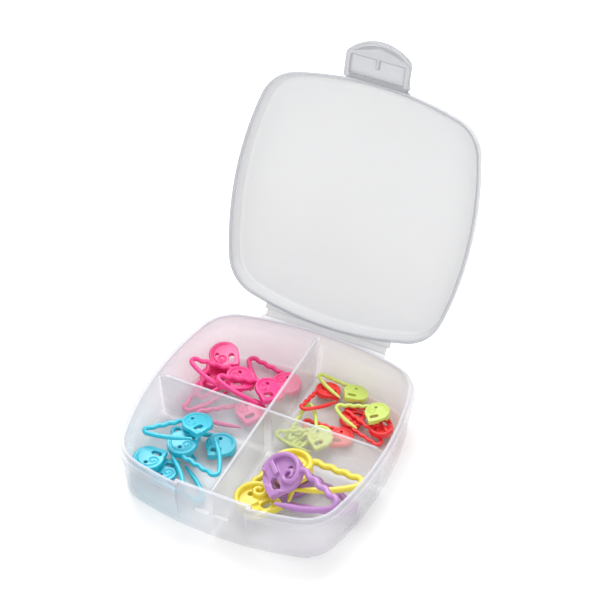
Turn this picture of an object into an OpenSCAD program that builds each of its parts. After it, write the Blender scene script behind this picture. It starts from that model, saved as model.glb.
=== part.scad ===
// Locking stitch markers in three sizes, loose in a hinged case with four compartments.
// X runs along the hinge, Y towards the hinge, Z up. The origin is under the tray's centre.

/* [Case] */
// Outer width of the case, measured across the tray's rim
case_width = 80; // [79:0.5:90]
// Outer depth of the case, from the front of the rim to the back
case_depth = 80; // [79:0.5:90]
// Radius of the gentle bow of each side
side_radius = 108; // [90:1:200]
// Radius of the four corners
corner_radius = 13.5; // [10:0.5:18]
// Height of the tray at the ledge that the lid closes on
tray_height = 17; // [16.5:0.5:24]
// Thickness of the moulded walls
wall = 1.2; // [1:0.1:1.4]
// Thickness of the tray's floor
floor_thickness = 1.2; // [0.8:0.1:2]
// How far each wall leans in from the rim to the floor
wall_lean = 2; // [1:0.25:2.5]
// Height of the rounded edge round the floor
foot_radius = 1.6; // [1:0.1:2.5]

/* [Rim] */
// Width of the ledge that the lid's skirt sits on
ledge_width = 1; // [0.8:0.1:1.4]
// Thickness of the lip inside the ledge
lip_width = 0.9; // [0.7:0.1:1.2]
// Height of the lip above the ledge
lip_height = 1.4; // [1:0.1:1.5]
// Height of the thick band below the ledge
band_height = 2.4; // [1.5:0.1:4]
// How far the band stands out from the wall below it
band_step = 0.3; // [0.2:0.05:0.5]

/* [Dividers] */
// Thickness of the two dividers
divider_thickness = 1; // [0.8:0.1:1.5]
// How far the dividers' tops lie below the lip
divider_drop = 0.3; // [0.2:0.1:1]
// Place of the front to back divider, right of the centre
divider_x = -0.8; // [-1:0.1:0]
// Place of the left to right divider, behind the centre
divider_y = 1.2; // [0.5:0.1:1.5]
// How far the dividers' tops dip where they meet the walls
divider_dip = 1.4; // [0.8:0.1:2]
// Radius of the upright fillets where the dividers cross
fillet_radius = 1.2; // [0.8:0.1:2]

/* [Latch recess] */
// Width of the flat recess in the tray's front
recess_width = 22.8; // [22.4:0.1:26]
// Distance of the recess's face behind the front of the rim
recess_depth = 2.6; // [2.4:0.1:2.8]
// Width of the catch rib, which has a gap in its middle
catch_width = 11; // [8:0.5:14]
// How far the catch rib stands out of the recess
catch_depth = 0.6; // [0.4:0.05:0.7]
// Height of the catch rib
catch_height = 1.2; // [0.8:0.1:1.6]
// Height of the catch rib's middle above the table
catch_level = 10; // [9.5:0.25:11]

/* [Lid] */
// Height of the lid's top above the ledge when it is closed
lid_height = 6; // [5:0.5:9]
// Thickness of the lid's top
lid_top = 1.1; // [0.8:0.1:1.6]
// How far the lid's skirt leans in towards its top
lid_lean = 0.8; // [0.4:0.1:1.5]
// Height of the rounded edge round the lid's top
lid_edge = 1.4; // [1:0.1:2]
// Gap between the closed lid and the tray
closing_gap = 0.15; // [0.1:0.05:0.3]
// Angle that the lid stands open
open_angle = 117; // [100:1:150]

/* [Hinge] */
// Width of the hinge flanges
hinge_width = 43; // [36:0.5:46]
// Thickness of the hinge flanges
flange_thickness = 0.8; // [0.7:0.1:1]
// How far the flanges reach behind the back of the rim
flange_reach = 0.2; // [0.1:0.1:0.6]
// Thickness of the bending webs
web_thickness = 0.4; // [0.3:0.05:0.5]
// Distance from the flanges to the hinge line, measured along Y
web_reach = 0.6; // [0.5:0.1:1]
// Height of the hinge line above the ledge
hinge_rise = 0.8; // [0.6:0.1:1]
// How far a web stands in from the ends of what it joins
web_inset = 0.8; // [0.5:0.1:1.5]

/* [Latch flap] */
// Width of the latch flap
flap_width = 21.3; // [19:0.1:21.8]
// Height of the latch flap's straight sides
flap_side = 8.4; // [8:0.1:9.5]
// Height of the latch flap at the middle of its arch
flap_height = 13.2; // [12.5:0.1:14.5]
// Thickness of the latch flap
flap_thickness = 1.6; // [1.4:0.1:1.8]
// Width of the finger lip along the arch
finger_lip = 1.5; // [1:0.1:2]
// Height of the finger lip over the flap's outer face
finger_rise = 1.4; // [1:0.1:2]
// Width of the pocket in the flap's inner face
pocket_width = 16.8; // [15:0.1:17.5]
// Height of the pocket
pocket_height = 6.2; // [5:0.1:6.4]
// Depth of the pocket
pocket_depth = 0.8; // [0.7:0.05:0.9]
// Width of the small rib in the pocket
pocket_rib = 1; // [0.8:0.1:1.2]
// Length of the small rib in the pocket
pocket_rib_length = 3; // [2:0.1:4]
// Distance from the flap's hinge line to its foot, and out to the front of the case
flap_root = 0.4; // [0.3:0.05:0.5]
// Angle that the flap leans in from the lid's plane
flap_angle = 12; // [0:1:40]

/* [Markers] */
// Length of a small marker
small_length = 18; // [17:0.1:18.5]
// Length of a medium marker
medium_length = 22; // [21:0.1:22.5]
// Length of a large marker
large_length = 30; // [28:0.1:30.2]

/* [Medium marker's head, which the others follow in proportion] */
// Radius of the round head
head_radius = 4.8; // [4.4:0.1:5]
// Thickness of the head at its rim
head_thickness = 2.7; // [2.4:0.1:2.8]
// Width of the raised rim round the dished face
rim_width = 1.2; // [1:0.1:1.5]
// Thickness of the dished part
dish_thickness = 1.45; // [1.2:0.05:1.8]
// Thickness of the wire
wire = 1.5; // [1.2:0.05:1.6]
// Diameter of the small hole
eye_diameter = 1.25; // [1:0.05:1.6]
// Length of the slot for the pin
slot_length = 3.4; // [3:0.1:3.6]
// Width of the slot for the pin
slot_width = 1.7; // [1.4:0.05:1.9]

/* [Hidden] */
$fn = 48;
MEDIUM = 22;
// Each marker has a name, a place right of and behind its compartment's middle, a height, its
// turn about Z, its tilt sideways and lengthwise, and the opening of its pin. Lengths are those of a
// medium marker, and a tilt past 90 shows the flat face. The lowest comes first.
PINK = [
  ["pink_marker_1", 7, -7.5, 1.5, -145, 180, 0, 0],
  ["pink_marker_2", 12, 8, 1.5, 166, 180, 0, 0],
  ["pink_marker_3", -9.8, 1, 1.5, -90, 180, 0, 0],
  ["pink_marker_4", -9.4, 6.9, 6.2, -86, 180, 14, 0],
  ["pink_marker_5", 0.2, -0.5, 6.4, -165, 180, -14, 0],
  ["pink_marker_6", 10.5, -1, 6.3, -154, 180, -15, 0]];
BLUE = [
  ["blue_marker_1", -5.5, -5, 1.5, -12, 180, 0, 0],
  ["blue_marker_2", -10.5, -4.5, 4.3, -20, 180, 0, 0],
  ["blue_marker_3", 5.5, 12.5, 1.5, -174, 180, 0, 8],
  ["blue_marker_4", -4, 5.3, 4.8, -17, 184, 0, 12],
  ["blue_marker_5", -2.5, 12.5, 7.5, -135, 188, -5, 0]];
GREEN_AND_RED = [
  ["red_marker_1", 0, -6.5, 1.5, 179, 180, 0, 0],
  ["green_marker_1", -15, -14, 2, 93, 0, -7, 0],
  ["green_marker_2", -6, -12.5, 4.7, -154, 166, 0, 0],
  ["red_marker_2", -0.5, 4, 1.5, -20, 180, 0, 0],
  ["red_marker_3", -14.5, 12.5, 3, -96, 180, -13, 0],
  ["red_marker_4", 12, 3, 3.7, 160, 0, 0, 0],
  ["green_marker_3", 9, 6.5, 6.8, -168, 180, 7, 15],
  ["green_marker_4", -4, 15, 3.6, 178, 194, -7, 0]];
YELLOW_AND_PURPLE = [
  ["purple_marker_1", -4.3, 6.8, 1.45, -14, 0, 0, 0],
  ["yellow_marker_1", -8, -4.2, 3.6, 81, 0, 0, 0],
  ["yellow_marker_2", -4.2, 6.4, 5.9, -2, 0, -4, 0],
  ["purple_marker_2", -4, 1.2, 8.9, -25, 28, -5, 0]];
GROUPS = [
  [PINK, medium_length, -1, 1],
  [BLUE, medium_length, -1, -1],
  [GREEN_AND_RED, small_length, 1, 1],
  [YELLOW_AND_PURPLE, large_length, 1, -1]];
COLOURS = [
  ["p", "i", "hotpink"],
  ["b", "l", "deepskyblue"],
  ["g", "r", "yellowgreen"],
  ["r", "e", "crimson"],
  ["y", "e", "gold"],
  ["p", "u", "mediumorchid"]];
CASE_NODES = ["base_tray", "hinge_web", "lid", "latch_web", "latch_flap"];

FROSTED = [0.9, 0.92, 0.95, 0.55];
SIDE_STEPS = 4;
CORNER_STEPS = 8;
EDGE_STEPS = 3;
overlap = 0.2;

// A medium marker's wire, in the order of its path
root_angle = 57;
arm_fall = 3;
wave_count = 7;
wave_angle = 60;
wave_radius = 1.72;
turn_radius = 1.5;
turn_angle = 165;
pin_radius = 26;
pin_angle = 20;
tip_length = 4.8;
tip_radius = 0.35;
WIRE_SIDES = 8;
edge = 0.35;
slot_turn = -22;
slot_x = 0.8;
slot_y = -2.45;

// Plan of the case: four bowed sides joined by rounded corners, all tangent.
side_centre_x = case_width / 2 - side_radius;
side_centre_y = case_depth / 2 - side_radius;
centre_span = norm([side_centre_x, side_centre_y]);
centre_climb = sqrt(pow(side_radius - corner_radius, 2) - pow(centre_span / 2, 2));
corner_x = side_centre_x / 2 - centre_climb * side_centre_y / centre_span;
corner_y = side_centre_y / 2 - centre_climb * side_centre_x / centre_span;
corner_start = atan2(corner_y, corner_x - side_centre_x);
corner_end = atan2(corner_y - side_centre_y, corner_x);

rim_top = tray_height + lip_height;
lid_low = tray_height + closing_gap;
lip_inset = ledge_width + lip_width;
skirt = ledge_width - closing_gap;
divider_top = rim_top - divider_drop;
hinge_y = case_depth / 2 + flange_reach + web_reach;
hinge_z = tray_height + hinge_rise;
lid_flange_z = hinge_z + hinge_rise;
flap_hinge_y = -case_depth / 2 - flap_root;
flap_hinge_z = lid_low + web_thickness;
recess_y = recess_depth - case_depth / 2;
flap_inner = recess_y - closing_gap - flap_hinge_y;
flap_outer = flap_inner - flap_thickness;
arch_radius = (pow(flap_width / 2, 2) + pow(flap_height - flap_side, 2)) / (2 * (flap_height - flap_side));
inside_x = case_width / 2 - wall_lean - wall;
inside_y = case_depth / 2 - wall_lean - wall;
middles = [for (group = GROUPS)
  [(group[2] * (inside_x + divider_thickness / 2) + divider_x) / 2,
   (group[3] * (inside_y + divider_thickness / 2) + divider_y) / 2]];
pocket_end = flap_hinge_z - catch_level + catch_height / 2 + closing_gap;

function arc_points(x, y, radius, from, to, steps) =
  [for (i = [1 : steps]) let (a = from + (to - from) * i / steps) [x + radius * cos(a), y + radius * sin(a)]];
function quarter(inset) = concat(
  [[case_width / 2 - inset, 0]],
  arc_points(side_centre_x, 0, side_radius - inset, 0, corner_start, SIDE_STEPS),
  arc_points(corner_x, corner_y, corner_radius - inset, corner_start, corner_end, CORNER_STEPS),
  arc_points(0, side_centre_y, side_radius - inset, corner_end, 90, SIDE_STEPS));
function outline(inset) = let (q = quarter(inset), n = len(q)) concat(
  q,
  [for (i = [n - 2 : -1 : 0]) [-q[i].x, q[i].y]],
  [for (i = [1 : n - 1]) [-q[i].x, -q[i].y]],
  [for (i = [n - 2 : -1 : 1]) [q[i].x, -q[i].y]]);
function outer_inset(z) = band_step + (wall_lean - band_step) * (1 - z / (tray_height - band_height));
function inner_inset(z) = lip_inset + (wall_lean + wall - lip_inset) * (1 - z / tray_height);
function rounding(radius) = [for (i = [0 : EDGE_STEPS]) let (a = 90 * i / EDGE_STEPS)
  [radius * (1 - cos(a)), radius * (1 - sin(a))]];

// A closed solid through one plan outline for each level, given as its height and its inset.
module loft(levels) {
  rings = [for (level = levels) outline(level[1])];
  size = len(rings[0]);
  top = (len(levels) - 1) * size;
  points = [for (i = [0 : len(levels) - 1]) for (p = rings[i]) [p.x, p.y, levels[i][0]]];
  sides = [for (i = [0 : size : top - size]) for (k = [0 : size - 1]) let (n = (k + 1) % size)
    [i + k, i + size + k, i + size + n, i + n]];
  polyhedron(points, concat([[for (k = [0 : size - 1]) k]], sides, [[for (k = [size - 1 : -1 : 0]) top + k]]));
}

// A solid with one side view in Y and Z, centred on X.
module side_profile(width, points)
  rotate([90, 0, 90]) linear_extrude(height = width, center = true) polygon(points);

module divider(length, width) {
  foot = length / 2 - wall_lean - wall / 2;
  head = length / 2 - lip_inset + overlap;
  rotate([90, 0, 0]) linear_extrude(height = width, center = true)
    polygon([[-foot, floor_thickness / 2], [foot, floor_thickness / 2], [head, divider_top - divider_dip],
             [head - divider_dip, divider_top - divider_dip / 4], [head - 3 * divider_dip, divider_top],
             [3 * divider_dip - head, divider_top], [divider_dip - head, divider_top - divider_dip / 4],
             [-head, divider_top - divider_dip]]);
}

module upright_fillet()
  translate([divider_thickness / 2 - overlap, divider_thickness / 2 - overlap, floor_thickness / 2])
    linear_extrude(height = divider_top - floor_thickness / 2 - overlap)
      difference() {
        square(fillet_radius + overlap);
        translate([fillet_radius + overlap, fillet_radius + overlap]) circle(fillet_radius);
      }

// A hinge flange at the back, before the inside of the tray or lid is taken out.
module back_flange(z)
  translate([-hinge_width / 2, corner_y, z])
    cube([hinge_width, case_depth / 2 + flange_reach - corner_y, flange_thickness]);

module tray_shell() difference() {
  union() {
    loft(concat(
      [for (r = rounding(foot_radius)) [r[0], outer_inset(r[0]) + r[1]]],
      [[tray_height - band_height, band_step], [tray_height - band_height + band_step, 0],
       [tray_height, 0], [tray_height, ledge_width],
       [rim_top - overlap, ledge_width], [rim_top, ledge_width + overlap]]));
    back_flange(tray_height - flange_thickness);
  }
  loft(concat(
    [for (r = rounding(foot_radius)) let (z = floor_thickness + r[0]) [z, inner_inset(z) + r[1]]],
    [[tray_height, lip_inset], [rim_top + overlap, lip_inset]]));
}

module recess_backing() {
  back = recess_y + wall;
  side_profile(recess_width + 2 * wall,
    [[back, floor_thickness / 2], [back, rim_top], [recess_y - overlap, rim_top],
     [recess_y - overlap, tray_height / 2], [recess_y + overlap, floor_thickness / 2]]);
}

module catch_ribs()
  for (side = [-1, 1])
    translate([side * (catch_width + pocket_rib) / 4 + side * closing_gap, recess_y, catch_level])
      side_profile((catch_width - pocket_rib) / 2 - closing_gap,
        [[overlap, catch_height / 2], [-catch_depth / 2, catch_height / 2], [-catch_depth, 0],
         [-catch_depth, -catch_height / 2], [overlap, -catch_height / 2]]);

module base_tray() color(FROSTED) union() {
  difference() {
    union() {
      tray_shell();
      recess_backing();
      translate([0, divider_y, 0]) divider(case_width, divider_thickness);
      translate([divider_x, 0, 0]) rotate([0, 0, 90]) divider(case_depth, divider_thickness);
      translate([divider_x, divider_y, 0]) for (turn = [0 : 90 : 270]) rotate([0, 0, turn]) upright_fillet();
    }
    translate([-recess_width / 2, recess_y - case_depth, -overlap])
      cube([recess_width, case_depth, rim_top + 2 * overlap]);
  }
  catch_ribs();
}

// Turns what is built in the closed lid's place to where the open lid stands.
module opened()
  translate([0, hinge_y, hinge_z]) rotate([-open_angle, 0, 0]) translate([0, -hinge_y, -hinge_z]) children();

module lid() color(FROSTED) opened() difference() {
  high = tray_height + lid_height;
  ceiling = high - lid_top;
  union() {
    loft(concat([[lid_low, 0]], [for (r = rounding(lid_edge)) [high - r[1], lid_lean + r[0]]]));
    back_flange(lid_flange_z);
    translate([-flap_width / 2, -case_depth / 2, lid_low])
      cube([flap_width, lip_inset, 3 * web_thickness]);
  }
  loft(concat(
    [[lid_low - overlap, skirt], [rim_top + closing_gap, skirt]],
    [for (r = rounding(lid_edge)) [ceiling - r[1], lid_lean + skirt + overlap + r[0]]]));
}

// Points of the closed lid's hinge flange, seen from the side, where the open lid stands.
function opened_point(y, z) = let (dy = y - hinge_y, dz = z - hinge_z)
  [hinge_y + dy * cos(open_angle) + dz * sin(open_angle), hinge_z - dy * sin(open_angle) + dz * cos(open_angle)];

module hinge_web() color(FROSTED) {
  edge = case_depth / 2 + flange_reach;
  low = tray_height - flange_thickness / 2;
  high = lid_flange_z + flange_thickness / 2;
  side_profile(hinge_width - 2 * web_inset,
    [[edge, low - web_thickness / 2], opened_point(edge, high + web_thickness / 2),
     opened_point(edge, high - web_thickness / 2), [edge, low + web_thickness / 2]]);
}

// Turns what is built as a flap standing straight out of the lid to where the flap rests.
module leaned()
  opened() translate([0, flap_hinge_y, flap_hinge_z]) rotate([flap_angle, 0, 0]) children();

module flap_plan(width, reach) intersection() {
  translate([-width / 2, -flap_root - flap_height]) square([width, flap_height]);
  translate([0, arch_radius - flap_root - flap_height]) circle(reach, $fn = 96);
}

module latch_flap() color(FROSTED) leaned() difference() {
  union() {
    translate([0, 0, -flap_inner]) linear_extrude(height = flap_thickness) flap_plan(flap_width, arch_radius);
    // the foot, which carries the web
    side_profile(flap_width,
      [[-flap_root, -flap_inner], [-flap_root, -web_thickness / 4], [-flap_root - web_thickness, -web_thickness / 4],
       [-flap_root - 2 * flap_thickness, -flap_outer], [-flap_root - 2 * flap_thickness, -flap_inner]]);
    // the finger lip
    translate([0, 0, -flap_outer - overlap]) linear_extrude(height = finger_rise + overlap) difference() {
      flap_plan(flap_width, arch_radius);
      translate([0, arch_radius - flap_root - flap_height]) circle(arch_radius - finger_lip, $fn = 96);
    }
  }
  difference() {
    translate([-pocket_width / 2, -pocket_end, -flap_inner - overlap])
      cube([pocket_width, pocket_height, pocket_depth + overlap]);
    translate([-pocket_rib / 2, -pocket_end - overlap, -flap_inner - 2 * overlap])
      cube([pocket_rib, pocket_rib_length + overlap, flap_thickness]);
  }
}

// Points of the leaning flap's foot, seen from the side, in the closed lid's place.
function leaned_point(y, z) =
  [flap_hinge_y + y * cos(flap_angle) - z * sin(flap_angle), flap_hinge_z + y * sin(flap_angle) + z * cos(flap_angle)];

module latch_web() color(FROSTED) opened()
  side_profile(flap_width - 2 * web_inset,
    [[-case_depth / 2, lid_low + web_thickness / 2], [-case_depth / 2, lid_low + 3 * web_thickness / 2],
     leaned_point(-flap_root, -web_thickness / 4), leaned_point(-flap_root, -5 * web_thickness / 4)]);

// The path of a marker's wire, as places and headings. It starts inside the rim of the head.
function after(at, radius, angle) = let (side = sign(angle))
  [at[0] + side * radius * (sin(at[2] + angle) - sin(at[2])),
   at[1] - side * radius * (cos(at[2] + angle) - cos(at[2])), at[2] + angle];
function onward(at, distance) = [at[0] + distance * cos(at[2]), at[1] + distance * sin(at[2]), at[2]];
function last(list) = list[len(list) - 1];
function bend(at, radius, angle, steps) = [for (i = [1 : steps]) after(at, radius, angle * i / steps)];
function waves(at, count, angle) = count == 0 ? [] :
  let (wave = bend(at, wave_radius, angle, 2)) concat(wave, waves(last(wave), count - 1, -angle));
function wire_path(opening) = let (
  start_radius = head_radius - wire / 2,
  start = [start_radius * cos(root_angle), start_radius * sin(root_angle), -wave_angle / 2 - arm_fall],
  arm = waves(start, wave_count, wave_angle),
  turn = bend(last(arm), turn_radius, opening - turn_angle, 6),
  pin = bend(last(turn), pin_radius, -pin_angle, 2))
  concat([start], arm, turn, pin);

// The waved arm, the far turn and the pin, as one wire of even thickness that ends in a slim tip.
module marker_wire(opening) {
  body = wire_path(opening);
  rings = concat([for (at = body) [at, wire / 2]], [[onward(last(body), tip_length), tip_radius]]);
  points = [for (ring = rings) for (k = [0 : WIRE_SIDES - 1])
    let (a = 360 * (k + 0.5) / WIRE_SIDES, at = ring[0], side = ring[1] * cos(a))
    [at[0] - side * sin(at[2]), at[1] + side * cos(at[2]), ring[1] * sin(a)]];
  top = (len(rings) - 1) * WIRE_SIDES;
  sides = [for (i = [0 : WIRE_SIDES : top - WIRE_SIDES]) for (k = [0 : WIRE_SIDES - 1])
    let (n = (k + 1) % WIRE_SIDES) [i + k, i + WIRE_SIDES + k, i + WIRE_SIDES + n, i + n]];
  polyhedron(points, concat(
    [[for (k = [0 : WIRE_SIDES - 1]) k]], sides, [[for (k = [WIRE_SIDES - 1 : -1 : 0]) top + k]]));
}

module head_disc() {
  h = head_thickness / 2;
  rim = head_radius - rim_width;
  rotate_extrude() polygon([
    [0, -h], [head_radius - edge, -h], [head_radius, edge - h], [head_radius, h - edge], [head_radius - edge, h],
    [rim + edge, h], [rim, h - edge], [rim, dish_thickness - h], [0, dish_thickness - h]]);
}

// The hooked beak under the head, which guides the pin into the slot.
module beak()
  translate([0, 0, overlap / 4 - head_thickness / 2]) linear_extrude(height = 3 * head_thickness / 4)
    polygon(head_radius * [[-0.37, -0.92], [0.45, -1.25], [0.73, -0.66], [0, -0.82]]);

// The raised bar over the slot and the ramp that leads to the slot.
module slot_guide() {
  h = head_thickness / 2;
  reach = head_radius - rim_width / 2;
  translate([-reach, slot_y + slot_width / 2, -overlap])
    cube([reach + slot_x - slot_width / 2, 0.9 * rim_width, h]);
  translate([0, slot_y + slot_width / 2 + overlap, 0]) rotate([90, 0, 0]) linear_extrude(height = slot_width)
    polygon([[-reach + 2 * overlap, -overlap], [slot_x, -overlap], [slot_x, 0], [-reach + 2 * overlap, h - overlap]]);
}

module scroll() translate(head_radius * [0.49, 0.13]) {
  rotate([0, 0, -60]) rotate_extrude(angle = 250) translate([0.25 * head_radius, -overlap])
    square([rim_width / 2, head_thickness / 2]);
  translate([0, 0, -overlap]) cylinder(r = 0.13 * head_radius, h = head_thickness / 2 - overlap);
}

module head_cuts() {
  depth = head_thickness + 2;
  translate([0.19 * head_radius, 0.4 * head_radius, -depth / 2]) cylinder(d = eye_diameter, h = depth);
  rotate([0, 0, slot_turn]) translate([slot_x, slot_y - slot_width / 2, -depth / 2]) {
    straight = slot_length - slot_width;
    cube([straight, slot_width, depth]);
    for (end = [0, straight]) translate([end, slot_width / 2, 0]) cylinder(d = slot_width, h = depth);
  }
  rotate([0, 0, 100]) translate([0, 0, -head_thickness / 2 - overlap]) rotate_extrude(angle = 230)
    translate([head_radius - rim_width, 0]) square([edge, edge + overlap]);
}

module marker_solid(opening) {
  difference() {
    union() {
      head_disc();
      beak();
      rotate([0, 0, slot_turn]) slot_guide();
      scroll();
    }
    head_cuts();
  }
  marker_wire(opening);
}

// The plastic's colour, found from the first two letters of a marker's name.
function colour(name) = [for (c = COLOURS) if (c[0] == name[0] && c[1] == name[1]) c[2]][0];

// Sets a marker down in its compartment, where all lengths follow the size of marker it holds.
module marker(row, middle, length) color(colour(row[0]))
  translate([middle.x, middle.y, floor_thickness])
    scale(length / MEDIUM)
      translate([row[1], row[2], row[3]])
        rotate([0, 0, row[4]])
          rotate([row[5], row[6], 0])
            marker_solid(row[7]);

base_tray();
hinge_web();
lid();
latch_web();
latch_flap();
for (i = [0 : len(GROUPS) - 1])
  for (row = GROUPS[i][0])
    marker(row, middles[i], GROUPS[i][1]);
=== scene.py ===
"""Looks of locking stitch markers in a hinged, frosted case with four compartments.

Every shape is worked out in millimetres with numpy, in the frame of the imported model: X along the
hinge, Y towards the hinge, Z up. A finished mesh holds metres.
"""
from __future__ import annotations

import logging
import math
from dataclasses import dataclass, field
from enum import Enum

import bpy
import numpy as np
from mathutils import Matrix, Vector

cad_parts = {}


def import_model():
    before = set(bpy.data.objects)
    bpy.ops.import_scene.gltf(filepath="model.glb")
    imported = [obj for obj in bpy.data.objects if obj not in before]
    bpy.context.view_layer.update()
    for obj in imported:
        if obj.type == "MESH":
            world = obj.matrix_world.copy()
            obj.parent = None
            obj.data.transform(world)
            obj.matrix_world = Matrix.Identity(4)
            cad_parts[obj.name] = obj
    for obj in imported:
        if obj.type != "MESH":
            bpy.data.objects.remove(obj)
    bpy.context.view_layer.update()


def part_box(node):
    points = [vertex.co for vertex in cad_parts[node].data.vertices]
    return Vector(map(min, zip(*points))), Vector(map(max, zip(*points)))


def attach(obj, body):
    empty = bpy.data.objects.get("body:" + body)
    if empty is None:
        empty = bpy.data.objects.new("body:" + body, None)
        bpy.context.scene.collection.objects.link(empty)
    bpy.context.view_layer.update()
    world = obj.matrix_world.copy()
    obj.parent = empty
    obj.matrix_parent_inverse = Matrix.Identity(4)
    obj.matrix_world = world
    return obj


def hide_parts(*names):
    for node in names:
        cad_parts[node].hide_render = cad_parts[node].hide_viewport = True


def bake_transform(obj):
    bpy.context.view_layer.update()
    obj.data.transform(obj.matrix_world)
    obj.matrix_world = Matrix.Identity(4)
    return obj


Color = tuple[float, float, float]
Levels = list[tuple[float, float]]
Pairs = tuple[tuple[float, float], ...]

LOG = logging.getLogger("stitch_markers")

# MM turns millimetres into the metres of a finished mesh, and DRAFT leaves them as they are
MM = 0.001
DRAFT = 1.0

# How far a joined solid reaches into the one it joins, and a cutting one past what it cuts
OVERLAP = 0.2
CLEAR = 2.0

# How far a face is kept off one that it would otherwise share
HAIR = 0.01

# Edges that bend by more than this are rounded, in degrees
BEND_LIMIT = 30.0

TRAY_BODY = "tray_body"
LID_BODY = "lid_body"
LATCH_BODY = "latch_body"

# Names of the mesh attributes that the case's materials read
HAZE_MARK = "haze"
# glow holds painted light: the markers' colour bled onto the tray, and the catch rib's painted highlight
PAINTED_BLEED_MARK = "glow"
# line holds the painted shade line round the flap's pocket
SHADE_LINE_MARK = "line"


class Blend(Enum):
    """How a tool solid changes the solid it is applied to."""

    JOIN = "UNION"
    CUT = "DIFFERENCE"


class Sort(Enum):
    """What a node group's socket carries."""

    COLOR = "NodeSocketColor"
    VALUE = "NodeSocketFloat"


class Plastic(Enum):
    """The colours that the markers are moulded in."""

    PINK = "pink"
    BLUE = "blue"
    GREEN = "green"
    RED = "red"
    YELLOW = "yellow"
    PURPLE = "purple"


# Arrays into shapes


@dataclass
class Shape:
    """Points and faces of one surface, in millimetres.

    Args:
        points: N by 3 array of places.
        faces: integer arrays, one for each number of corners that the faces have.
    """

    points: np.ndarray
    faces: list[np.ndarray]

    def moved(self, matrix: np.ndarray) -> "Shape":
        """The same shape with each point multiplied by a 4 by 4 matrix."""
        return Shape(self.points @ matrix[:3, :3].T + matrix[:3, 3], self.faces)

    def solid(self, name: str, unit: float = MM) -> bpy.types.Object:
        """Make an object of the shape.

        Args:
            name: the object's name and its mesh's.
            unit: what a millimetre is in the mesh, MM or DRAFT.

        Returns:
            The object, linked to the scene.
        """
        mesh = bpy.data.meshes.new(name)
        faces = [row for block in self.faces for row in block.tolist()]
        mesh.from_pydata((self.points * unit).tolist(), [], faces)
        mesh.update()
        return linked(name, mesh)


def linked(name: str, data: bpy.types.ID) -> bpy.types.Object:
    """Make an object and link it to the scene.

    Args:
        name: the object's name.
        data: its mesh, lamp or camera.

    Returns:
        The object, at the origin.
    """
    made = bpy.data.objects.new(name, data)
    bpy.context.scene.collection.objects.link(made)
    return made


def arc_points(centre: tuple[float, float], radius: float | np.ndarray, angles: np.ndarray) -> np.ndarray:
    """Points centre + radius (cos a, sin a), N by 2; the radius may change from angle to angle."""
    return np.column_stack([centre[0] + radius * np.cos(angles), centre[1] + radius * np.sin(angles)])


def at_height(outline: np.ndarray, z: float | np.ndarray) -> np.ndarray:
    """An N by 2 outline with its height, or heights, as the third column."""
    return np.column_stack([outline, np.full(len(outline), z)])


def edge_levels(height: float, inset: float, edge: Pairs) -> Levels:
    """An edge's levels: each pair says how far one lies above a height and in from an inset."""
    return [(height + rise, inset + step) for rise, step in edge]


def grid_faces(rows: int, columns: int) -> np.ndarray:
    """Join neighbouring rows of a grid whose columns close into a ring.

    Args:
        rows: how many rings.
        columns: how many points in each.

    Returns:
        Quads, M by 4.
    """
    row, column = np.meshgrid(np.arange(rows - 1), np.arange(columns), indexing="ij")
    after = (column + 1) % columns
    here, ahead = row * columns, (row + 1) * columns
    return np.stack([here + column, here + after, ahead + after, ahead + column], -1).reshape(-1, 4)


def fan_faces(pole: int, ring: np.ndarray, outward: bool) -> np.ndarray:
    """Join one pole to a ring of points.

    Args:
        pole: the pole's number.
        ring: the ring's numbers, in order.
        outward: whether the ring runs the way that faces outwards.

    Returns:
        Triangles, M by 3.
    """
    after = np.roll(ring, -1)
    centre = np.full(len(ring), pole)
    pair = (ring, after) if outward else (after, ring)
    return np.stack([centre, *pair], -1)


def ringed(rings: np.ndarray, first: np.ndarray, last: np.ndarray) -> Shape:
    """A closed shape through rings of equal length, with a pole at each end.

    Args:
        rings: R by C by 3 array, anticlockwise as seen from the last ring's side.
        first: place of the pole before the first ring.
        last: place of the pole after the last ring.

    Returns:
        The closed shape, faces outwards.
    """
    count, columns = rings.shape[:2]
    size = count * columns
    start = np.arange(columns)
    end = start + size - columns
    faces = [grid_faces(count, columns), fan_faces(size, start, False), fan_faces(size + 1, end, True)]
    return Shape(np.vstack([rings.reshape(-1, 3), first, last]), faces)


def prism(outline: np.ndarray, low: float, high: float) -> Shape:
    """A flat outline carried straight up.

    Args:
        outline: N by 2 and anticlockwise.
        low: height of its foot.
        high: height of its top.

    Returns:
        The closed prism.
    """
    rings = np.stack([at_height(outline, z) for z in (low, high)])
    middle = outline.mean(0)
    return ringed(rings, np.array([*middle, low]), np.array([*middle, high]))


def bar_along_x(section: np.ndarray, width: float, centre: float = 0.0) -> Shape:
    """A side view carried along X.

    Args:
        section: Y and Z of the view, N by 2, anticlockwise as seen from +X.
        width: how far it runs along X.
        centre: X of its middle.

    Returns:
        The closed bar.
    """
    low, high = centre - width / 2, centre + width / 2
    ends = [np.column_stack([np.full(len(section), x), section]) for x in (low, high)]
    middle = section.mean(0)
    return ringed(np.stack(ends), np.array([low, *middle]), np.array([high, *middle]))


def block(low: tuple[float, float, float], high: tuple[float, float, float]) -> Shape:
    """A box between its lowest and its highest corner."""
    corners = np.array([[low[0], low[1]], [high[0], low[1]], [high[0], high[1]], [low[0], high[1]]])
    return prism(corners, low[2], high[2])


def lathe(profile: np.ndarray, steps: int) -> Shape:
    """A profile turned about Z.

    Args:
        profile: radius and height, N by 2, bottom to top, with both ends on the axis.
        steps: points round the axis.

    Returns:
        The closed turned shape.
    """
    angle = np.linspace(0, math.tau, steps, endpoint=False)
    ring = np.stack([np.cos(angle), np.sin(angle)], -1)
    body = profile[1:-1]
    flat = body[:, None, 0:1] * ring[None]
    high = np.broadcast_to(body[:, None, 1:2], (len(body), steps, 1))
    poles = [np.array([0, 0, z]) for z in profile[[0, -1], 1]]
    return ringed(np.concatenate([flat, high], -1), *poles)


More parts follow.
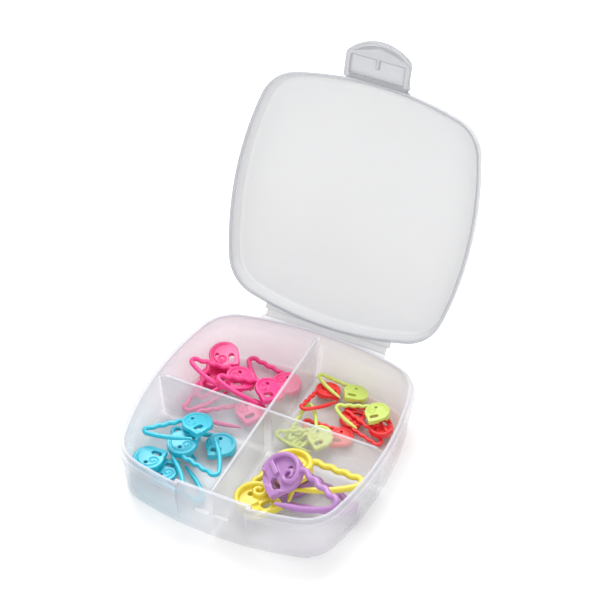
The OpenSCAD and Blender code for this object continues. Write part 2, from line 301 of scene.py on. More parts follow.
def tube(path: np.ndarray, radius: np.ndarray, sides: int) -> Shape:
    """A round section carried along a path that runs level or rises gently.

    Each ring stands square to the path's heading, and its points are
    centre + radius (cos a * side + sin a * up).

    Args:
        path: N by 3 places.
        radius: N radii.
        sides: points in a ring.

    Returns:
        The closed tube, its ends drawn out to blunt tips.
    """
    first_tip, last_tip = 0.3, 0.6
    heading = np.gradient(path, axis=0)
    heading /= np.linalg.norm(heading, axis=1)[:, None]
    side = np.cross(np.array([0.0, 0.0, 1.0]), heading)
    side /= np.linalg.norm(side, axis=1)[:, None]
    up = np.cross(heading, side)
    angle = np.linspace(0, math.tau, sides, endpoint=False)
    swing = np.cos(angle)[None, :, None] * side[:, None] + np.sin(angle)[None, :, None] * up[:, None]
    rings = path[:, None] + radius[:, None, None] * swing
    first = path[0] - heading[0] * radius[0] * first_tip
    last = path[-1] + heading[-1] * radius[-1] * last_tip
    return ringed(rings, first, last)


def shift(x: float, y: float, z: float) -> np.ndarray:
    """A 4 by 4 matrix that moves.

    Args:
        x: how far along X.
        y: how far along Y.
        z: how far along Z.

    Returns:
        The matrix.
    """
    matrix = np.eye(4)
    matrix[:3, 3] = (x, y, z)
    return matrix


def turn(axis: int, degrees: float) -> np.ndarray:
    """A 4 by 4 matrix that turns by the right-hand rule.

    Args:
        axis: 0, 1 or 2 for X, Y or Z.
        degrees: how far.

    Returns:
        The matrix.
    """
    matrix = np.eye(4)
    c, s = math.cos(math.radians(degrees)), math.sin(math.radians(degrees))
    i, j = [(1, 2), (2, 0), (0, 1)][axis]
    matrix[i, i], matrix[i, j], matrix[j, i], matrix[j, j] = c, -s, s, c
    return matrix


# Solids, modifiers and meshes


def settle(piece: bpy.types.Object) -> None:
    """Replace a piece's mesh by what its modifiers make of it, and drop the modifiers.

    Args:
        piece: the object to settle.
    """
    graph = bpy.context.evaluated_depsgraph_get()
    mesh = bpy.data.meshes.new_from_object(piece.evaluated_get(graph))
    mesh.name = piece.name
    piece.modifiers.clear()
    piece.data = mesh


def combine(piece: bpy.types.Object, tool: Shape, how: Blend, unit: float = MM) -> None:
    """Join a tool shape to a solid, or cut it out, and delete the tool.

    Args:
        piece: the solid to change.
        tool: the shape that changes it.
        how: join or cut.
        unit: what a millimetre is in the solid's mesh.
    """
    other = tool.solid("tool", unit)
    step = piece.modifiers.new("step", "BOOLEAN")
    step.operation = how.value
    step.object = other
    step.solver = "MANIFOLD"
    settle(piece)
    bpy.data.objects.remove(other)


def points_of(piece: bpy.types.Object, unit: float = MM) -> np.ndarray:
    """Read a piece's points.

    Args:
        piece: the object.
        unit: what a millimetre is in its mesh.

    Returns:
        N by 3 array, in millimetres.
    """
    points = np.empty(len(piece.data.vertices) * 3)
    piece.data.vertices.foreach_get("co", points)
    return points.reshape(-1, 3) / unit


def softened(shape: Shape, width: float, segments: int = 2) -> Shape:
    """Round a shape's sharp edges.

    Args:
        shape: the shape.
        width: how far the rounding reaches from each edge.
        segments: how many faces it has across.

    Returns:
        The rounded shape, as arrays again.
    """
    piece = shape.solid("softened", DRAFT)
    step = piece.modifiers.new("round", "BEVEL")
    step.width = width
    step.segments = segments
    step.limit_method = "ANGLE"
    step.angle_limit = math.radians(BEND_LIMIT)
    settle(piece)
    points = points_of(piece, DRAFT)
    sized: dict[int, list[list[int]]] = {}
    for face in piece.data.polygons:
        sized.setdefault(len(face.vertices), []).append(list(face.vertices))
    bpy.data.objects.remove(piece)
    return Shape(points, [np.array(rows) for rows in sized.values()])


def skinned(piece: bpy.types.Object, voxel: float, passes: int) -> None:
    """Melt a piece's overlapping solids into one moulded skin, then even it out.

    Args:
        piece: the object.
        voxel: size of the skin's cells.
        passes: how often the skin is evened.
    """
    step = piece.modifiers.new("skin", "REMESH")
    step.mode = "VOXEL"
    step.voxel_size = voxel
    step.use_smooth_shade = True
    even = piece.modifiers.new("even", "SMOOTH")
    even.factor = 0.5
    even.iterations = passes
    settle(piece)


def even_normals(piece: bpy.types.Object) -> None:
    """Weight a cut shell's shading by the size and angle of its faces, so that slivers don't show.

    Args:
        piece: the object.
    """
    step = piece.modifiers.new("even_normals", "WEIGHTED_NORMAL")
    step.mode = "FACE_AREA_WITH_ANGLE"
    step.keep_sharp = True


def place(piece: bpy.types.Object, matrix: np.ndarray, unit: float = MM) -> None:
    """Move a piece's points and leave them in metres; the object itself stays at the origin.

    Args:
        piece: the object.
        matrix: the move, in millimetres.
        unit: what a millimetre is in the mesh before the move.
    """
    points = points_of(piece, unit) @ matrix[:3, :3].T + matrix[:3, 3]
    piece.data.vertices.foreach_set("co", (points * MM).ravel())
    piece.data.update()


def write_mark(piece: bpy.types.Object, mark: str, amount: np.ndarray) -> None:
    """Write how strong a mark is at each point, held between 0 and 1."""
    made = piece.data.attributes.new(mark, "FLOAT", "POINT")
    made.data.foreach_set("value", np.clip(amount, 0, 1))


def finish_piece(piece: bpy.types.Object, material: bpy.types.Material,
                 sharp: float = 32.0) -> None:
    """Give a piece its smooth shading and its material, and report it.

    Args:
        piece: the object.
        material: what it is dressed in.
        sharp: angle in degrees above which an edge stays sharp.
    """
    mesh = piece.data
    mesh.materials.clear()
    mesh.materials.append(material)
    mesh.polygons.foreach_set("use_smooth", np.ones(len(mesh.polygons), bool))
    mesh.set_sharp_from_angle(angle=math.radians(sharp))
    mesh.update()
    LOG.info("%s: %d faces", piece.name, len(mesh.polygons))


# Node groups and finishes


@dataclass(frozen=True)
class Wiring:
    """Short ways to add nodes to a tree and to join them.

    Args:
        tree: node tree of a material or a group.
    """

    tree: bpy.types.NodeTree

    def feed(self, target: bpy.types.NodeSocket, value: object) -> None:
        """Join an output to an input, or set the input to a constant.

        Args:
            target: the input.
            value: an output socket, a number or a colour with its alpha.
        """
        if isinstance(value, bpy.types.NodeSocket):
            self.tree.links.new(value, target)
        else:
            target.default_value = value

    def node(self, kind: str, feeds: dict[str | int, object], **settings: object) -> bpy.types.Node:
        """Add a node.

        Args:
            kind: Blender's name for the kind of node.
            feeds: what each of its inputs gets.
            **settings: the node's own settings.

        Returns:
            The node.
        """
        made = self.tree.nodes.new(kind)
        for name, value in settings.items():
            setattr(made, name, value)
        for key, value in feeds.items():
            self.feed(made.inputs[key], value)
        return made

    def mark(self, name: str) -> bpy.types.NodeOutputs:
        """The outputs of a mesh attribute."""
        return self.node("ShaderNodeAttribute", {}, attribute_name=name).outputs

    def joined(self, operation: str, first: object, second: object) -> bpy.types.NodeSocket:
        """Two values joined by a Math node's operation."""
        return self.node("ShaderNodeMath", {0: first, 1: second}, operation=operation).outputs[0]

    def mixed(self, amount: object, before: object, after: object) -> bpy.types.NodeSocket:
        """A colour that goes from one to another by an amount."""
        feeds = {"Factor": amount, "A": before, "B": after}
        return self.node("ShaderNodeMix", feeds, data_type="RGBA").outputs["Result"]

    def ranged(self, value: object, ends: dict[str, object]) -> bpy.types.NodeSocket:
        """A value carried from one range to another; an end left out is 0 or 1."""
        return self.node("ShaderNodeMapRange", {"Value": value, **ends}).outputs["Result"]


def node_group(name: str, inputs: dict[str, object], outputs: dict[str, Sort]
               ) -> tuple[Wiring, bpy.types.NodeOutputs, bpy.types.NodeInputs]:
    """Begin a shader node group.

    Args:
        name: the group's name.
        inputs: each input and its usual value, a number or a colour.
        outputs: each output and its sort.

    Returns:
        The group's wiring, the sockets with what it is given, and the sockets that it puts out.
    """
    tree = bpy.data.node_groups.new(name, "ShaderNodeTree")
    for label, value in inputs.items():
        sort = Sort.VALUE if isinstance(value, float) else Sort.COLOR
        made = tree.interface.new_socket(name=label, in_out="INPUT", socket_type=sort.value)
        made.default_value = value
    for label, sort in outputs.items():
        tree.interface.new_socket(name=label, in_out="OUTPUT", socket_type=sort.value)
    given = tree.nodes.new("NodeGroupInput").outputs
    return Wiring(tree), given, tree.nodes.new("NodeGroupOutput").inputs


def moulded_skin() -> bpy.types.NodeTree:
    """Make the group for any moulded plastic: cloudy tone, uneven gloss and a fine grain.

    Color = mix(Main, Shade, c * Cloudiness), where c is the cloud's middle range spread from 0 to 1.
    Roughness = Smooth + cloud * (Dull - Smooth). Height = fine noise. Cloud and grain are noises of
    the piece's own coordinates.

    Returns:
        The group.
    """
    wiring, given, made = node_group("moulded_skin", {
        "Main": (0.8, 0.8, 0.8, 1),
        "Shade": (0.6, 0.6, 0.6, 1),
        "Cloudiness": 0.5,
        "Cloud Scale": 120.0,
        "Grain Scale": 4000.0,
        "Smooth": 0.3,
        "Dull": 0.4,
    }, {"Color": Sort.COLOR, "Roughness": Sort.VALUE, "Height": Sort.VALUE})
    spot = wiring.node("ShaderNodeTexCoord", {}).outputs["Object"]
    cloud, grain = (
        wiring.node("ShaderNodeTexNoise",
                    {"Vector": spot, "Scale": given[scale], "Detail": detail}).outputs["Fac"]
        for scale, detail in (("Cloud Scale", 3.0), ("Grain Scale", 2.0)))
    spread = wiring.ranged(cloud, {"From Min": 0.35, "From Max": 0.65})
    amount = wiring.joined("MULTIPLY", spread, given["Cloudiness"])
    wiring.feed(made["Color"], wiring.mixed(amount, given["Main"], given["Shade"]))
    gloss = wiring.ranged(cloud, {"To Min": given["Smooth"], "To Max": given["Dull"]})
    wiring.feed(made["Roughness"], gloss)
    wiring.feed(made["Height"], grain)
    return wiring.tree


def edge_tone() -> bpy.types.NodeTree:
    """Make the group that paints light and shade by bend: the edge colour on raised edges, a painted
    highlight or a painted dark outline, and painted shade in hollows, found from how far the surface bends.

    Toned = mix(mix(Color, Edge, raised * Amount), Hollow, sunk * Amount). Pointiness is 0.5 on a flat
    face, more on an edge and less in a hollow, and each mask runs from where it starts to where it
    is full.

    Returns:
        The group.
    """
    wiring, given, made = node_group("edge_tone", {
        "Color": (0.8, 0.8, 0.8, 1),
        "Edge": (0.9, 0.9, 0.9, 1),
        "Hollow": (0.5, 0.5, 0.5, 1),
        "Amount": 0.3,
    }, {"Toned": Sort.COLOR})
    bend = wiring.node("ShaderNodeNewGeometry", {}).outputs["Pointiness"]
    tone = given["Color"]
    for name, start, full in (("Edge", 0.515, 0.56), ("Hollow", 0.485, 0.44)):
        mask = wiring.ranged(bend, {"From Min": start, "From Max": full})
        tone = wiring.mixed(wiring.joined("MULTIPLY", mask, given["Amount"]), tone, given[name])
    wiring.feed(made["Toned"], tone)
    return wiring.tree


@dataclass(frozen=True)
class MouldedFinish:
    """One moulded plastic, worked out by the shared node groups.

    Args:
        name: the material's name.
        main: its main colour.
        shade: its colour in the clouds.
        edge: its colour painted along raised edges, a painted highlight where it is lighter than main and a
            painted dark outline where it is darker.
        hollow: its painted shade colour in hollows.
        cloudiness: how much of the shade the clouds bring.
        cloud_scale: scale of the clouds' noise.
        grain_scale: scale of the grain's noise.
        smooth: roughness where it is glossiest.
        dull: roughness where it is dullest.
        grain_depth: depth of the grain in metres.
        painted_bend_amount: how much of the painted edge and hollow colours shows.
        ior: index of refraction.
        gloss: specular level.
    """

    name: str
    main: Color
    shade: Color
    edge: Color
    hollow: Color
    cloudiness: float = 0.4
    cloud_scale: float = 160.0
    grain_scale: float = 3500.0
    smooth: float = 0.26
    dull: float = 0.38
    grain_depth: float = 0.00002
    painted_bend_amount: float = 0.45
    ior: float = 1.49
    gloss: float = 0.75

    def marked(self, wiring: Wiring, shader: bpy.types.NodeInputs,
               tone: bpy.types.NodeSocket) -> bpy.types.NodeSocket:
        """The tone after the mesh's own marks: a solid plastic reads none."""
        return tone

    def edge_on_shaded(self, wiring: Wiring, tone: bpy.types.NodeSocket) -> bpy.types.NodeSocket:
        """The tone with painted shade where the surface is seen edge-on: a solid plastic gets none."""
        return tone

    def material(self, skin: bpy.types.NodeTree, edges: bpy.types.NodeTree) -> bpy.types.Material:
        """Make the material of this finish.

        Args:
            skin: the group that gives tone, roughness and grain.
            edges: the group that paints highlights or dark outlines on raised edges and shade in hollows.

        Returns:
            The material.
        """
        material = bpy.data.materials.new(self.name)
        material.use_nodes = True
        wiring = Wiring(material.node_tree)
        shader = material.node_tree.nodes["Principled BSDF"].inputs
        plastic = wiring.node("ShaderNodeGroup", {
            "Main": (*self.main, 1),
            "Shade": (*self.shade, 1),
            "Cloudiness": self.cloudiness,
            "Cloud Scale": self.cloud_scale,
            "Grain Scale": self.grain_scale,
            "Smooth": self.smooth,
            "Dull": self.dull,
        }, node_tree=skin).outputs
        # painted light and shade by bend: highlight or dark outline on raised edges, shade in hollows
        bends = wiring.node("ShaderNodeGroup", {
            "Color": self.marked(wiring, shader, plastic["Color"]),
            "Edge": (*self.edge, 1),
            "Hollow": (*self.hollow, 1),
            "Amount": self.painted_bend_amount,
        }, node_tree=edges).outputs
        grain = {"Distance": self.grain_depth, "Strength": 0.6, "Height": plastic["Height"]}
        for name, value in (
            ("Base Color", self.edge_on_shaded(wiring, bends["Toned"])),
            ("Roughness", plastic["Roughness"]),
            ("Normal", wiring.node("ShaderNodeBump", grain).outputs["Normal"]),
            ("IOR", self.ior),
            ("Specular IOR Level", self.gloss),
        ):
            wiring.feed(shader[name], value)
        return material


@dataclass(frozen=True)
class FrostedFinish(MouldedFinish):
    """Cloudy plastic that lets light through, more solid where its mesh is marked.

    The fields above alpha are MouldedFinish's, with the values that this plastic starts from.

    Args:
        alpha: how solid it is in thin walls.
        rim: its colour where the haze mark is full, or none where the mesh has no haze mark.
        rim_alpha: how solid it is there.
        line: its painted shade colour along marked lines, or none.
        edge_on_shade: its painted shade colour where it is seen edge-on, or none.
        shows_painted_bleed: whether it shows painted light, the markers' colours bled into it.
    """

    cloud_scale: float = 60.0
    grain_scale: float = 1500.0
    dull: float = 0.2
    grain_depth: float = 0.00001
    painted_bend_amount: float = 0.0
    ior: float = 1.25
    gloss: float = 1.0
    alpha: float = 0.5
    rim: Color | None = None
    rim_alpha: float = 1.0
    line: Color | None = None
    edge_on_shade: Color | None = None
    shows_painted_bleed: bool = False

    def marked(self, wiring: Wiring, shader: bpy.types.NodeInputs,
               tone: bpy.types.NodeSocket) -> bpy.types.NodeSocket:
        """Lay the marks over the tone: haze, then painted light bled from the markers, then painted shade
        lines, and set how solid it is.

        Args:
            wiring: the material's wiring.
            shader: the shader's inputs.
            tone: the tone so far.

        Returns:
            The tone with the marks.
        """
        solid: object = self.alpha
        shader["Alpha"].default_value = self.alpha
        if self.rim:
            haze = wiring.mark(HAZE_MARK)["Fac"]
            tone = wiring.mixed(haze, tone, (*self.rim, 1))
            solid = wiring.ranged(haze, {"To Min": self.alpha, "To Max": self.rim_alpha})
        # painted light: the markers' colour bled into the plastic
        if self.shows_painted_bleed:
            painted_light = wiring.mark(PAINTED_BLEED_MARK)
            tone = wiring.mixed(painted_light["Alpha"], tone, painted_light["Color"])
        # painted shade: dark lines where the mesh is marked
        if self.line:
            drawn = wiring.mark(SHADE_LINE_MARK)["Fac"]
            tone = wiring.mixed(drawn, tone, (*self.line, 1))
            solid = wiring.joined("MAXIMUM", solid, drawn)
        wiring.feed(shader["Alpha"], solid)
        return tone

    def edge_on_shaded(self, wiring: Wiring, tone: bpy.types.NodeSocket) -> bpy.types.NodeSocket:
        """Mix in painted shade where the surface is seen edge-on.

        Args:
            wiring: the material's wiring.
            tone: the tone so far.

        Returns:
            The tone with its painted edge-on shade.
        """
        if not self.edge_on_shade:
            return tone
        # painted shade: darker where the surface is seen edge-on
        facing = wiring.node("ShaderNodeLayerWeight", {"Blend": 0.42}).outputs["Facing"]
        return wiring.mixed(facing, tone, (*self.edge_on_shade, 1))


# Each marker's edge colour is a painted highlight along raised edges, and its hollow colour is painted
# shade in hollows
MARKER_FINISHES = {
    Plastic.PINK: MouldedFinish(
        "pink_plastic", main=(0.90, 0.042, 0.27), shade=(0.82, 0.011, 0.17),
        edge=(0.98, 0.20, 0.45), hollow=(0.64, 0.008, 0.10)),
    Plastic.BLUE: MouldedFinish(
        "blue_plastic", main=(0.022, 0.53, 0.68), shade=(0.005, 0.44, 0.60),
        edge=(0.26, 0.76, 0.86), hollow=(0.002, 0.34, 0.48)),
    Plastic.GREEN: MouldedFinish(
        "green_plastic", main=(0.66, 0.80, 0.17), shade=(0.54, 0.70, 0.07),
        edge=(0.82, 0.92, 0.42), hollow=(0.38, 0.52, 0.03)),
    Plastic.RED: MouldedFinish(
        "red_plastic", main=(0.94, 0.026, 0.032), shade=(0.82, 0.009, 0.013),
        edge=(0.99, 0.12, 0.12), hollow=(0.58, 0.006, 0.008)),
    Plastic.YELLOW: MouldedFinish(
        "yellow_plastic", main=(0.87, 0.74, 0.07), shade=(0.78, 0.61, 0.02),
        edge=(0.95, 0.88, 0.34), hollow=(0.62, 0.44, 0.01)),
    Plastic.PURPLE: MouldedFinish(
        "purple_plastic", main=(0.49, 0.24, 0.54), shade=(0.37, 0.14, 0.43),
        edge=(0.70, 0.51, 0.75), hollow=(0.20, 0.06, 0.25)),
}

# The tray's shows_painted_bleed paints the markers' colour onto its walls as light, and its edge_on_shade
# is painted shade seen edge-on
TRAY_FINISH = FrostedFinish(
    "frosted_tray", main=(0.96, 0.96, 0.97), shade=(0.92, 0.92, 0.945),
    edge=(0.97, 0.97, 0.98), hollow=(0.80, 0.80, 0.84),
    cloudiness=0.6, cloud_scale=22.0, smooth=0.09, grain_depth=0.000003, alpha=0.25, ior=1.2,
    edge_on_shade=(0.63, 0.64, 0.69), rim=(0.65, 0.65, 0.71), rim_alpha=0.61, shows_painted_bleed=True)

# The lid's edge_on_shade is painted shade seen edge-on
LID_FINISH = FrostedFinish(
    "frosted_lid", main=(0.77, 0.775, 0.775), shade=(0.73, 0.735, 0.75),
    edge=(0.60, 0.60, 0.63), hollow=(0.60, 0.61, 0.64),
    cloudiness=0.5, cloud_scale=16.0, smooth=0.2, dull=0.3, alpha=0.55, ior=1.2,
    edge_on_shade=(0.34, 0.35, 0.39), rim=(0.50, 0.52, 0.56), rim_alpha=0.66)

# The flap's edge and hollow colours, at full amount, are painted dark outlines of shade on its edges and in
# its hollows; its edge_on_shade and line are painted shade too
FLAP_FINISH = FrostedFinish(
    "frosted_flap", main=(0.55, 0.57, 0.60), shade=(0.51, 0.53, 0.56),
    edge=(0.14, 0.15, 0.18), hollow=(0.12, 0.13, 0.16),
    smooth=0.12, painted_bend_amount=1.0, alpha=0.52, edge_on_shade=(0.12, 0.13, 0.16),
    rim=(0.57, 0.58, 0.61), rim_alpha=0.58, line=(0.10, 0.115, 0.14))

# The latch web's dark grey is painted shade, standing in for the shade in the crease under the flap
SHADE_WEB_FINISH = FrostedFinish(
    "thin_web", main=(0.30, 0.32, 0.36), shade=(0.24, 0.26, 0.30),
    edge=(0.30, 0.31, 0.34), hollow=(0.24, 0.26, 0.30),
    smooth=0.15, dull=0.25, alpha=0.75)


# The case


@dataclass
class Plan:
    """Plan view of the case: four bowed sides joined by rounded corners, all tangent.

    Args:
        width: along X, across the middle.
        depth: along Y, across the middle.
        side_radius: radius of the bowed sides.
        corner_radius: radius of the corners.
        side_steps: steps along half a side.
        corner_steps: steps round a corner.
    """

    width: float = 80.0
    depth: float = 80.0
    side_radius: float = 108.0
    corner_radius: float = 13.5
    side_steps: int = 14
    corner_steps: int = 16

    def __post_init__(self) -> None:
        """Work out the centres of the arcs and where they meet."""
        self.side_x = self.width / 2 - self.side_radius
        self.side_y = self.depth / 2 - self.side_radius
        span = math.hypot(self.side_x, self.side_y)
        climb = math.sqrt((self.side_radius - self.corner_radius) ** 2 - (span / 2) ** 2)
        self.corner_x = self.side_x / 2 - climb * self.side_y / span
        self.corner_y = self.side_y / 2 - climb * self.side_x / span
        self.first = math.atan2(self.corner_y, self.corner_x - self.side_x)
        self.second = math.atan2(self.corner_y - self.side_y, self.corner_x)

    def outline(self, inset: float) -> np.ndarray:
        """The plan moved inwards.

        Each arc's points are centre + (radius - inset) (cos a, sin a). One quarter is worked out and
        mirrored into the other three.

        Args:
            inset: how far.

        Returns:
            N by 2 points, anticlockwise from the middle of the right side.
        """
        side = self.side_radius - inset
        right = np.linspace(0, self.first, self.side_steps + 1)
        corner = np.linspace(self.first, self.second, self.corner_steps + 1)[1:]
        top = np.linspace(self.second, math.pi / 2, self.side_steps + 1)[1:]
        quarter = np.vstack([
            arc_points((self.side_x, 0.0), side, right),
            arc_points((self.corner_x, self.corner_y), self.corner_radius - inset, corner),
            arc_points((0.0, self.side_y), side, top)])
        quarter[-1, 0] = 0.0
        back = quarter[-2::-1] * [-1, 1]
        left = quarter[1:] * [-1, -1]
        front = quarter[-2:0:-1] * [1, -1]
        return np.vstack([quarter, back, left, front])

    def loft(self, levels: Levels) -> Shape:
        """A closed solid through the plan at several heights.

        Args:
            levels: height and inset of each ring, from the bottom up.

        Returns:
            The solid, with a half-size ring inside each end so that the end faces stay even.
        """
        rings = [at_height(self.outline(inset), z) for z, inset in levels]
        closed = [rings[0] * [0.5, 0.5, 1], *rings, rings[-1] * [0.5, 0.5, 1]]
        return ringed(np.stack(closed), np.array([0, 0, levels[0][0]]), np.array([0, 0, levels[-1][0]]))

    def from_rim(self, points: np.ndarray) -> np.ndarray:
        """How far each point lies from the nearest point of the plan, seen from above."""
        rim = self.outline(0)
        return np.sqrt(((points[:, None, :2] - rim[None]) ** 2).sum(-1)).min(1)


def rounded(radius: float, steps: int) -> Levels:
    """Two lengths along a quarter circle: r (1 - cos a), which grows, and r (1 - sin a), which falls."""
    angles = np.linspace(0, math.pi / 2, steps + 1)
    return [(radius * (1 - math.cos(a)), radius * (1 - math.sin(a))) for a in angles]


def gate_mark(piece: bpy.types.Object, z: float) -> None:
    """Cut the shallow round mark that the mould's gate leaves in the middle of an outer face.

    Args:
        piece: the shell.
        z: height of the face.
    """
    radius, deep = 1.3, 0.12
    profile = np.array([[0, z - deep], [radius, z - deep], [radius, z + deep], [0, z + deep]])
    combine(piece, lathe(profile, steps=40), Blend.CUT)


@dataclass
class CaseSizes:
    """Sizes that more than one piece of the case needs, and the places that follow from them.

    Args:
        plan: the case's plan.
        tray_height: height of the ledge that the closed lid rests over.
        wall: thickness of the walls.
        floor: thickness of the floor.
        lean: how far the foot of the wall stands in from the rim.
        ledge: width of the ledge round the lip.
        lip: thickness of the lip.
        lip_height: height of the lip above the ledge.
        gap: clearance between closing pieces.
        divider: thickness of the dividers.
        divider_x: X of the divider that runs front to back.
        divider_y: Y of the divider that runs side to side.
        recess_depth: how far the latch recess is let into the front.
        catch_level: height of the middle of the catch rib.
        catch_height: height of the catch rib.
        open_angle: how far the lid is open at rest, in degrees.
        hinge_width: length of the hinge flanges.
        flange: thickness of the hinge flanges.
        flange_reach: how far they stand out at the back.
        flange_round: rounding of their edges.
        hinge_rise: height of the hinge's axis above the ledge.
        web: thickness of the webs.
        web_reach: how far the hinge's axis stands behind the flanges.
        flap_width: width of the flap.
        pocket_rib: width of the flap's small rib and of the gap in the catch that takes it.
        flap_root: how far the flap's axis stands in front of the case.
        foot_gap: how far the flap's foot stops short of the lid.
        flap_angle: how far the flap leans from the lid's plane at rest, in degrees.
    """

    plan: Plan = field(default_factory=Plan)
    tray_height: float = 17.0
    wall: float = 1.2
    floor: float = 1.2
    lean: float = 2.0
    ledge: float = 1.0
    lip: float = 0.9
    lip_height: float = 1.4
    gap: float = 0.15
    divider: float = 1.0
    divider_x: float = -0.8
    divider_y: float = 1.2
    recess_depth: float = 2.6
    catch_level: float = 10.0
    catch_height: float = 1.2
    open_angle: float = 117.0
    hinge_width: float = 43.0
    flange: float = 0.8
    flange_reach: float = 0.2
    flange_round: float = 0.15
    hinge_rise: float = 0.8
    web: float = 0.4
    web_reach: float = 0.6
    flap_width: float = 21.3
    pocket_rib: float = 1.0
    flap_root: float = 0.4
    foot_gap: float = 0.08
    flap_angle: float = 12.0

    def __post_init__(self) -> None:
        """Work out the heights, axes and resting turns that follow from the sizes."""
        self.front = -self.plan.depth / 2
        self.back = self.plan.depth / 2 + self.flange_reach
        self.rim_top = self.tray_height + self.lip_height
        self.lip_inset = self.ledge + self.lip
        self.lid_low = self.tray_height + self.gap
        self.hinge_y = self.back + self.web_reach
        self.hinge_z = self.tray_height + self.hinge_rise
        self.lid_flange_z = self.hinge_z + self.hinge_rise
        self.recess_y = self.recess_depth - self.plan.depth / 2
        self.flap_hinge_y = self.front - self.flap_root
        self.flap_hinge_z = self.lid_low + self.web
        self.flap_foot = -self.flap_root - self.foot_gap
        self.opened = (shift(0, self.hinge_y, self.hinge_z) @ turn(0, -self.open_angle)
                       @ shift(0, -self.hinge_y, -self.hinge_z))
        self.leaned = (self.opened @ shift(0, self.flap_hinge_y, self.flap_hinge_z)
                       @ turn(0, self.flap_angle))

    def lid_point(self, y: float, z: float) -> np.ndarray:
        """Where a point of the closed lid stands at rest, as Y and Z."""
        return (self.opened @ np.array([0, y, z, 1.0]))[1:3]

    def flap_point(self, y: float, z: float) -> np.ndarray:
        """Where a point of the flap, told from its own axis, stands at rest, as Y and Z."""
        return (self.leaned @ np.array([0, y, z, 1.0]))[1:3]

    def back_flange(self, z: float) -> Shape:
        """A hinge flange at the back, with its edges rounded.

        Args:
            z: height of its underside.

        Returns:
            The flange.
        """
        half = self.hinge_width / 2
        flat = block((-half, self.plan.corner_y, z), (half, self.back, z + self.flange))
        return softened(flat, self.flange_round)


def set_down(piece: bpy.types.Object, material: bpy.types.Material, node: str, body: str) -> None:
    """Dress a moulded shell of the case and set it on its body.

    Args:
        piece: the shell.
        material: what it is dressed in.
        node: the solid that it stands for.
        body: the body that carries it.
    """
    finish_piece(piece, material)
    even_normals(piece)
    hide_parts(node)
    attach(piece, body)


